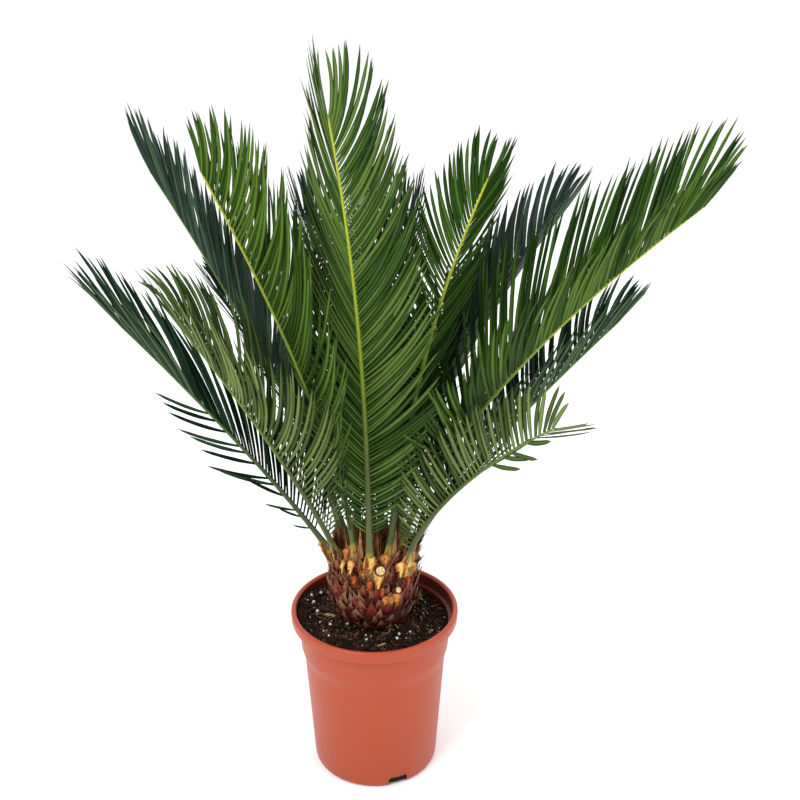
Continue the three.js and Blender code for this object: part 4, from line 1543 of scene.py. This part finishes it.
@dataclass(frozen=True)
class Pot:
    """The round nursery pot: a thin tapered wall with one shoulder, a rolled lip and drain notches.

    Attributes:
        waist: the outer radius under the shoulder.
        shoulder: the outer radius over it.
        edge: the radius of the rounding at the foot.
        LIP_FOOT: the lip's lower corners, from its outer radius and its foot.
        LIP_CROWN: its upper corners, from its outer radius and its top.
        LIP_INSIDE: its inner corners, from its inner radius and its top.
        AROUND: how many points go round.
    """

    height: float = 180 * MM
    lip_radius: float = 85 * MM
    lip_depth: float = 13 * MM
    lip_wall: float = 5.5 * MM
    wall: float = 1.6 * MM
    floor: float = 3 * MM
    base_radius: float = 64 * MM
    edge: float = 5 * MM
    shoulder_low: float = 121 * MM
    shoulder_high: float = 143 * MM
    waist: float = 71.9 * MM
    shoulder: float = 75.8 * MM
    under_lip: float = 77.4 * MM
    notches: int = 3
    first_notch: float = -68.0
    notch_width: float = 20 * MM
    notch_height: float = 11 * MM
    notch_depth: float = 13 * MM

    LIP_FOOT: ClassVar[Array] = np.array([(-3.2, -0.3), (-1.6, 0), (-0.8, 0.7), (-0.4, 2)]) * MM
    LIP_CROWN: ClassVar[Array] = MM * np.array(
        [(0, -3.4), (-0.15, -2), (-0.8, -0.8), (-1.9, -0.1), (-2.8, 0), (-3.8, -0.2)]
    )
    LIP_INSIDE: ClassVar[Array] = np.array([(0.7, -0.9), (0.15, -2.2), (0, -4)]) * MM
    AROUND: ClassVar[int] = 192

    def outside(self, height: Array) -> Array:
        """The wall's outer radius: an even taper up to the shoulder, an S-curve over it, and a taper on."""
        lower = between(self.base_radius, self.waist, height / self.shoulder_low)
        over = between(self.waist, self.shoulder, smooth(height, self.shoulder_low, self.shoulder_high))
        foot = self.height - self.lip_depth
        share = (height - self.shoulder_high) / (foot - self.shoulder_high)
        upper = between(self.shoulder, self.under_lip, share)
        return np.where(height < self.shoulder_low, lower, np.where(height < self.shoulder_high, over, upper))

    def bore(self, height: Array) -> Array:
        """The pot's inner radius below the lip."""
        return self.outside(height) - self.wall

    def profile(self) -> Array:
        """Radius and height from the underside's middle, up the outside, over the lip and down inside."""
        foot = self.height - self.lip_depth
        turn = np.radians(np.linspace(0, 75, 6))
        base = self.outside(np.array(0.0))
        corner = np.stack(
            [base - self.edge * (1 - np.sin(turn)) + 0.2 * MM, self.edge * (1 - np.cos(turn))], axis=-1
        )
        lower = np.linspace(self.edge, self.shoulder_low, 12)
        over = np.linspace(self.shoulder_low, self.shoulder_high, 10)[1:]
        upper = np.linspace(self.shoulder_high, foot - 1 * MM, 5)[1:]
        heights = np.concatenate([lower, over, upper])
        wall = np.stack([self.outside(heights), heights], axis=-1)
        inner = self.lip_radius - self.lip_wall
        lip = np.concatenate(
            [
                [(self.under_lip + 0.8 * MM, foot - 0.6 * MM)],
                (self.lip_radius, foot) + self.LIP_FOOT,
                (self.lip_radius, self.height) + self.LIP_CROWN,
                (inner, self.height) + self.LIP_INSIDE,
                [(inner - 0.6 * MM, foot)],
            ]
        )
        inside = np.stack([self.bore(heights), heights], axis=-1)[::-1]
        low = self.bore(np.array(self.floor))
        hub = 1 * MM
        bottom = [(low - 0.4 * MM, self.floor + 1 * MM), (low - 1.6 * MM, self.floor), (hub, self.floor)]
        return np.concatenate([[(hub, 0.0)], corner, wall, lip, inside, bottom])

    def build(self) -> None:
        """Turns the pot and cuts its drain notches."""
        profile = self.profile()
        inside = np.arange(len(profile) - 1) > np.argmax(profile[:, 1]) + 2
        surface = stacked(turned(profile, self.AROUND), inside[None, :, None])
        # The inner wall's plastic is darkened as painted shade, darkest towards the floor.
        inner_shade = PlasticFinish("inner_shade_plastic", shade(104, 34, 22), shade(60, 16, 10), shade(40, 20, 14))
        body = surface.piece("nursery_pot", [PlasticFinish(), inner_shade], crease=50)
        for number in range(self.notches):
            self.cut_notch(body, self.first_notch + number * 360 / self.notches)
        ride(body, "pot", "pot")

    def cut_notch(self, body: bpy.types.Object, bearing: float) -> None:
        """Cuts one notch through the foot of the wall and the edge of the floor.

        Args:
            body: the pot.
            bearing: where the notch is.
        """
        half, tall, corner = self.notch_width / 2, self.notch_height, 2 * MM
        right = np.array([(half, -tall), (half, tall - corner), (half - corner, tall)])
        outline = np.concatenate([right, right[::-1] * (-1, 1)])
        radius = self.base_radius + 2 * MM + np.array([-self.notch_depth, self.notch_depth])
        path = polar(bearing, radius, 0.0)[None]
        cutter = swept(path, UP, outline, 1.0, 1.0).piece("notch_cutter", [PlasticFinish()])
        cut = body.modifiers.new("notch", "BOOLEAN")
        cut.operation, cut.solver, cut.object = "DIFFERENCE", "EXACT", cutter
        old = body.data
        body.data = bpy.data.meshes.new_from_object(body.evaluated_get(bpy.context.evaluated_depsgraph_get()))
        body.data.name = old.name
        body.modifiers.clear()
        bpy.data.meshes.remove(old)
        bpy.data.objects.remove(cutter)


@dataclass(frozen=True)
class PottingMix:
    """Moist peat with crumbs, perlite, wood chips and fine roots, filling the pot to just under its lip.

    Attributes:
        edge_low: the surface's height against the wall where it is lowest.
        edge_high: the same where it is highest.
        mound: its height at the trunk.
        lumps: how far its slow lumps stand up.
        crumb_count, crumb_radius: how many crumbs there are, and the least and most of their radius,
            and so on for the small perlite grains, the wood chips and the roots.
        placed_perlite: the larger grains, as x, y and radius in millimetres.
        RISEN: the heights between which the mix spreads from the wall into the hollow lip.
        CLEAR: how far its sides stay off the wall.
    """

    pot: Pot
    edge_low: float = 162 * MM
    edge_high: float = 175 * MM
    mound: float = 170 * MM
    lumps: float = 1.2 * MM
    crumb_count: int = 3500
    crumb_radius: Pair = (0.3 * MM, 2.3 * MM)
    perlite_count: int = 110
    perlite_radius: Pair = (0.35 * MM, 0.95 * MM)
    chip_count: int = 70
    chip_length: Pair = (4 * MM, 11 * MM)
    chip_half: Pair = (0.7 * MM, 1.7 * MM)
    root_count: int = 90
    root_length: Pair = (6 * MM, 26 * MM)
    placed_perlite: Table = (
        (-57, 32, 1.7), (-66, 26, 1.9), (-63, 12, 2.3), (-58, -2, 2.2), (-69, 12, 1.4), (-54, -21, 1.6),
        (-44, -24, 1.6), (-27, -21, 1.5), (-8, -37, 1.4), (-7, -48, 1.5), (25, -37, 1.5), (23, -47, 1.7),
        (36, -36, 1.3), (-50, -38, 1.1), (44, -20, 1.1), (50, 8, 1.0),
    )

    RISEN: ClassVar[Pair] = (170.5 * MM, 172.5 * MM)
    CLEAR: ClassVar[float] = 0.25 * MM

    def top(self, bearing: Array, share: Array) -> Array:
        """The surface's height: a mound at the trunk, higher against the wall at the left front.

        Args:
            bearing: in degrees.
            share: the share of the way from the axis to the wall.

        Returns:
            The height, with slow lumps that repeat round the pot.
        """
        tilt = smooth(0.5 - 0.75 * np.cos(np.radians(bearing - 40)))
        edge = between(self.edge_low, self.edge_high, tilt)
        lump = np.sin(np.radians(6 * bearing) + 9 * share) * np.sin(np.radians(3 * bearing) + 5 * share)
        return between(self.mound, edge, smooth(share, 0.35, 1.0)) + self.lumps * lump

    def relief(self, points: Array) -> Array:
        """Fine crumbs: three random fields, the finer the lower."""
        flat = points * np.array([1.0, 1.0, 0.0])
        coarse = ripples(flat, 13 * MM, Seed.COARSE_PEAT)
        medium = np.abs(ripples(flat, 6 * MM, Seed.MEDIUM_PEAT)) * 1.7
        fine = np.abs(ripples(flat, 2.4 * MM, Seed.FINE_PEAT, 24)) * 0.9
        return (coarse + medium + fine - 2.0) * MM

    def wall(self, bearing: Array) -> Array:
        """The radius at which the mix meets the pot: wider where it reaches up into the hollow lip."""
        below = self.pot.bore(np.array(self.mound)) - 0.15 * MM
        inside_lip = self.pot.lip_radius - self.pot.lip_wall - 0.2 * MM
        height = self.top(bearing, np.array(1.0))
        return between(below, inside_lip, smooth(height, *self.RISEN))

    def on_top(self, bearing: Array, radius: Array, rise: Any) -> Array:
        """Points above the surface by "rise"."""
        height = self.top(bearing, radius / self.pot.bore(np.array(self.mound)))
        points = polar(bearing, radius, height)
        points[..., 2] += self.relief(points) + rise
        return points

    def bed(self) -> None:
        """The body of the mix: a crumbly top, sides down the pot's wall, and a flat underside.

        A collar just under the lip keeps the sides inside the wall where the top spreads into the lip.
        """
        around = 420
        bearing = np.arange(around) * 360.0 / around
        underside = self.pot.floor + 0.35 * MM
        heights = np.array([underside, *np.linspace(30 * MM, 155 * MM, 14)])[:, None]
        sides = polar(bearing, self.pot.bore(heights) - self.CLEAR, heights)
        share = np.linspace(1, 0.004, 96)[:, None]
        top = self.on_top(bearing[None], share * self.wall(bearing), -1.5 * MM * smooth(share, 0.97, 1.0))
        finish = GrainFinish("peat", shade(48, 33, 25), shade(5, 2, 1), 2 * MM, 0.88)
        collar_height = np.minimum(self.pot.height - self.pot.lip_depth, top[0, :, 2]) - 0.5 * MM
        collar = polar(bearing, self.pot.bore(collar_height) - self.CLEAR, collar_height)[None]
        rings = np.concatenate([sides, collar, top])[None]
        ride(stacked(rings).piece("potting_mix_bed", [finish]), "potting_mix", "potting_mix")

    def strewn(self, count: int, rng: Chance, inner: float = 32 * MM) -> tuple[Array, Array]:
        """Random bearings and radii, even over the surface between the trunk and the wall."""
        outer = self.pot.bore(np.array(self.mound)) - 3 * MM
        return rng.uniform(0, 360, count), np.sqrt(rng.uniform(inner**2, outer**2, count))

    def crumbs(self) -> None:
        """Peat crumbs of three browns, from half a millimetre to six."""
        rng = np.random.default_rng(Seed.CRUMBS)
        count = self.crumb_count
        size = between(*self.crumb_radius, rng.uniform(0, 1, count) ** 3.5)
        centres = self.on_top(*self.strewn(count, rng), size * 0.2)
        radii = size[:, None] * rng.uniform(0.6, 1.3, (count, 3))
        kinds = rng.choice(3, count, p=[0.56, 0.34, 0.1])
        finishes = [
            GrainFinish("crumb_dark", shade(42, 28, 21), shade(8, 4, 2), 1.5 * MM),
            GrainFinish("crumb_brown", shade(96, 66, 50), shade(36, 21, 14), 1.5 * MM),
            GrainFinish("crumb_olive", shade(92, 80, 60), shade(46, 40, 30), 1.5 * MM),
        ]
        surface = Lump(5, 6).scattered(centres, radii, rng, 0.25, kinds)
        ride(surface.piece("peat_crumbs", finishes, crease=30), "potting_mix")

    def perlite(self) -> None:
        """White perlite: a few grains by the trunk's left and front, and small ones all over."""
        rng = np.random.default_rng(Seed.PERLITE)
        x, y, size = np.array(self.placed_perlite).T * MM
        count = self.perlite_count
        bearing, radius = self.strewn(count, rng)
        bearing = np.concatenate([np.degrees(np.arctan2(y, x)), bearing])
        radius = np.concatenate([np.hypot(x, y), radius])
        size = np.concatenate([size, rng.uniform(*self.perlite_radius, count)])
        radii = size[:, None] * rng.uniform(0.75, 1.15, (len(size), 3))
        finish = GrainFinish("perlite", shade(226, 222, 214), shade(176, 168, 156), 0.8 * MM, 0.8)
        surface = Lump(7, 9).scattered(self.on_top(bearing, radius, size * 0.5), radii, rng, 0.14)
        ride(surface.piece("perlite_grains", [finish]), "potting_mix")

    def chips(self) -> None:
        """Flat slivers of wood and bark that lie on the mix. The first two are pale and have set places."""
        rng = np.random.default_rng(Seed.CHIPS)
        count = self.chip_count
        bearing, radius = self.strewn(count, rng)
        bearing[:2], radius[:2] = (-171, -48), (46 * MM, 31 * MM)
        length = rng.uniform(*self.chip_length, count)
        half = rng.uniform(*self.chip_half, count)
        length[:2], half[:2] = (12 * MM, 10 * MM), (2.6 * MM, 0.8 * MM)
        radius = np.minimum(radius, self.pot.bore(np.array(self.mound)) - 1.5 * MM - length / 2)
        way = rng.uniform(0, 360, count)
        way[:2] = -20, -42
        share = np.linspace(-0.5, 0.5, 5)
        centre = self.on_top(bearing, radius, 1.2 * MM)
        pitch = rng.normal(0, 0.16, count)
        ahead = polar(way, 1.0, pitch)[:, None]
        paths = centre[:, None] + length[:, None, None] * share[:, None] * ahead
        blunt = np.array([0.45, 0.95, 1.0, 0.9, 0.4])
        section = np.array([(1, -0.4), (0.9, 0.5), (0, 0.8), (-0.85, 0.45), (-1, -0.5), (0, -0.7)])
        facing = unit(UP + rng.normal(0, 0.25, (count, 1, 3)))
        kinds = rng.choice(3, count, p=[0.35, 0.45, 0.2])
        kinds[:2] = 2
        finishes = [
            FibreFinish("chip_brown", shade(120, 84, 56), shade(70, 44, 30), 0.8 * MM, 0.3 * MM),
            FibreFinish("chip_bark", shade(70, 48, 34), shade(32, 22, 16), 0.8 * MM, 0.3 * MM),
            FibreFinish("chip_pale", shade(176, 154, 104), shade(112, 92, 58), 0.8 * MM, 0.3 * MM),
        ]
        surface = swept(paths, facing, section, half[:, None] * blunt, 0.5 * MM, kinds)
        ride(surface.piece("wood_chips", finishes, crease=30), "potting_mix")

    def roots(self) -> None:
        """Fine roots and peat fibres that wander over the surface in loose bows."""
        rng = np.random.default_rng(Seed.ROOTS)
        count = self.root_count
        bearing, radius = self.strewn(count, rng, 34 * MM)
        share = np.linspace(-0.5, 0.5, 9)
        length = rng.uniform(*self.root_length, count)[:, None]
        way = np.radians(rng.uniform(0, 360, count))[:, None] + rng.normal(0, 1.4, count)[:, None] * share
        steps = length / (len(share) - 1)
        flat = polar(bearing, radius, 0.0)[:, None] + np.stack(
            [np.cumsum(np.cos(way) * steps, axis=1), np.cumsum(np.sin(way) * steps, axis=1), 0 * way], axis=-1
        )
        reach = np.hypot(flat[..., 0], flat[..., 1])
        outer = self.pot.bore(np.array(self.mound)) - 1.5 * MM
        flat[..., :2] *= np.minimum(1.0, outer / reach)[..., None]
        arch = (0.6 + rng.uniform(0, 2.2, count)[:, None] * (1 - (2 * share) ** 2)) * MM
        where = np.degrees(np.arctan2(flat[..., 1], flat[..., 0]))
        paths = self.on_top(where, np.hypot(flat[..., 0], flat[..., 1]), arch)
        paths[..., 2] = (paths[..., 2] + paths[..., 2].mean(axis=1, keepdims=True)) / 2
        thick = rng.uniform(0.14, 0.42, count)[:, None] * MM * np.array([0.4, 1, 1, 1, 1, 1, 1, 0.8, 0.3])
        kinds = rng.choice(2, count, p=[0.75, 0.25])
        finishes = [
            FibreFinish("root_dark", shade(70, 50, 36), shade(34, 24, 18)),
            FibreFinish("root_tan", shade(128, 100, 70), shade(80, 58, 40)),
        ]
        surface = swept(paths, UP, rounded(5), thick, thick, kinds)
        ride(surface.piece("fine_roots", finishes), "potting_mix")

    def build(self) -> None:
        """Makes the mix's pieces in order."""
        self.bed()
        self.crumbs()
        self.perlite()
        self.chips()
        self.roots()


# ---------------------------------------------------------------- studio


@dataclass(frozen=True)
class SoftLight:
    """A square area light that looks at a point of the plant."""

    name: str
    place: Triple
    size: float
    power: float
    target: Triple = (0.0, 0.0, 0.35)

    def build(self) -> None:
        """Makes the light and turns it to its target."""
        light = bpy.data.lights.new(self.name, "AREA")
        light.size, light.energy = self.size, self.power
        made = bpy.data.objects.new(self.name, light)
        made.location = self.place
        aim = Vector(self.target) - Vector(self.place)
        made.rotation_euler = aim.to_track_quat("-Z", "Y").to_euler()
        bpy.context.scene.collection.objects.link(made)


@dataclass(frozen=True)
class Studio:
    """A pale floor, an even sky, soft lights and the camera."""

    floor_half: float = 40.0
    sky: float = 1.05
    camera_place: Triple = (26 * MM, -1042 * MM, 857 * MM)
    camera_fall: float = 23.32
    lens: float = 54.0
    lights: tuple[SoftLight, ...] = (
        SoftLight("key", (-1.0, -1.3, 2.0), 0.9, 28.0),
        SoftLight("fill", (1.6, -1.0, 1.3), 1.2, 10.0),
        SoftLight("rim", (0.4, 1.6, 1.5), 1.2, 6.0),
    )

    def build(self) -> None:
        """Makes the floor, the sky, the lights and the camera."""
        half = self.floor_half
        corners = half * np.array([(-1.0, -1.0, 0.0), (1.0, -1.0, 0.0), (1.0, 1.0, 0.0), (-1.0, 1.0, 0.0)])
        floor = Surface(corners, [np.array([[0, 1, 2, 3]])], [np.array([0])], np.zeros(4), np.zeros(4))
        floor.piece("floor", [StudioFinish()])
        world = bpy.data.worlds.new("sky")
        world.use_nodes = True
        sky = world.node_tree.nodes["Background"]
        sky.inputs["Color"].default_value = (1.0, 1.0, 1.0, 1.0)
        sky.inputs["Strength"].default_value = self.sky
        bpy.context.scene.world = world
        for light in self.lights:
            light.build()
        camera = bpy.data.cameras.new("camera")
        camera.lens = self.lens
        made = bpy.data.objects.new("camera", camera)
        made.location = self.camera_place
        made.rotation_euler = (np.radians(90 - self.camera_fall), 0.0, 0.0)
        bpy.context.scene.collection.objects.link(made)
        bpy.context.scene.camera = made
        bpy.context.scene.view_settings.view_transform = "Standard"


def main() -> None:
    """Builds the studio and the plant."""
    logging.basicConfig(level=logging.INFO, format="%(name)s %(message)s")
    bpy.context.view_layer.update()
    Studio().build()
    pot = Pot()
    pot.build()
    PottingMix(pot).build()
    Trunk().build(FRONDS)
    for number, frond in enumerate(FRONDS):
        frond.build(Seed.FROND + number)


if __name__ == "__main__":
    main()
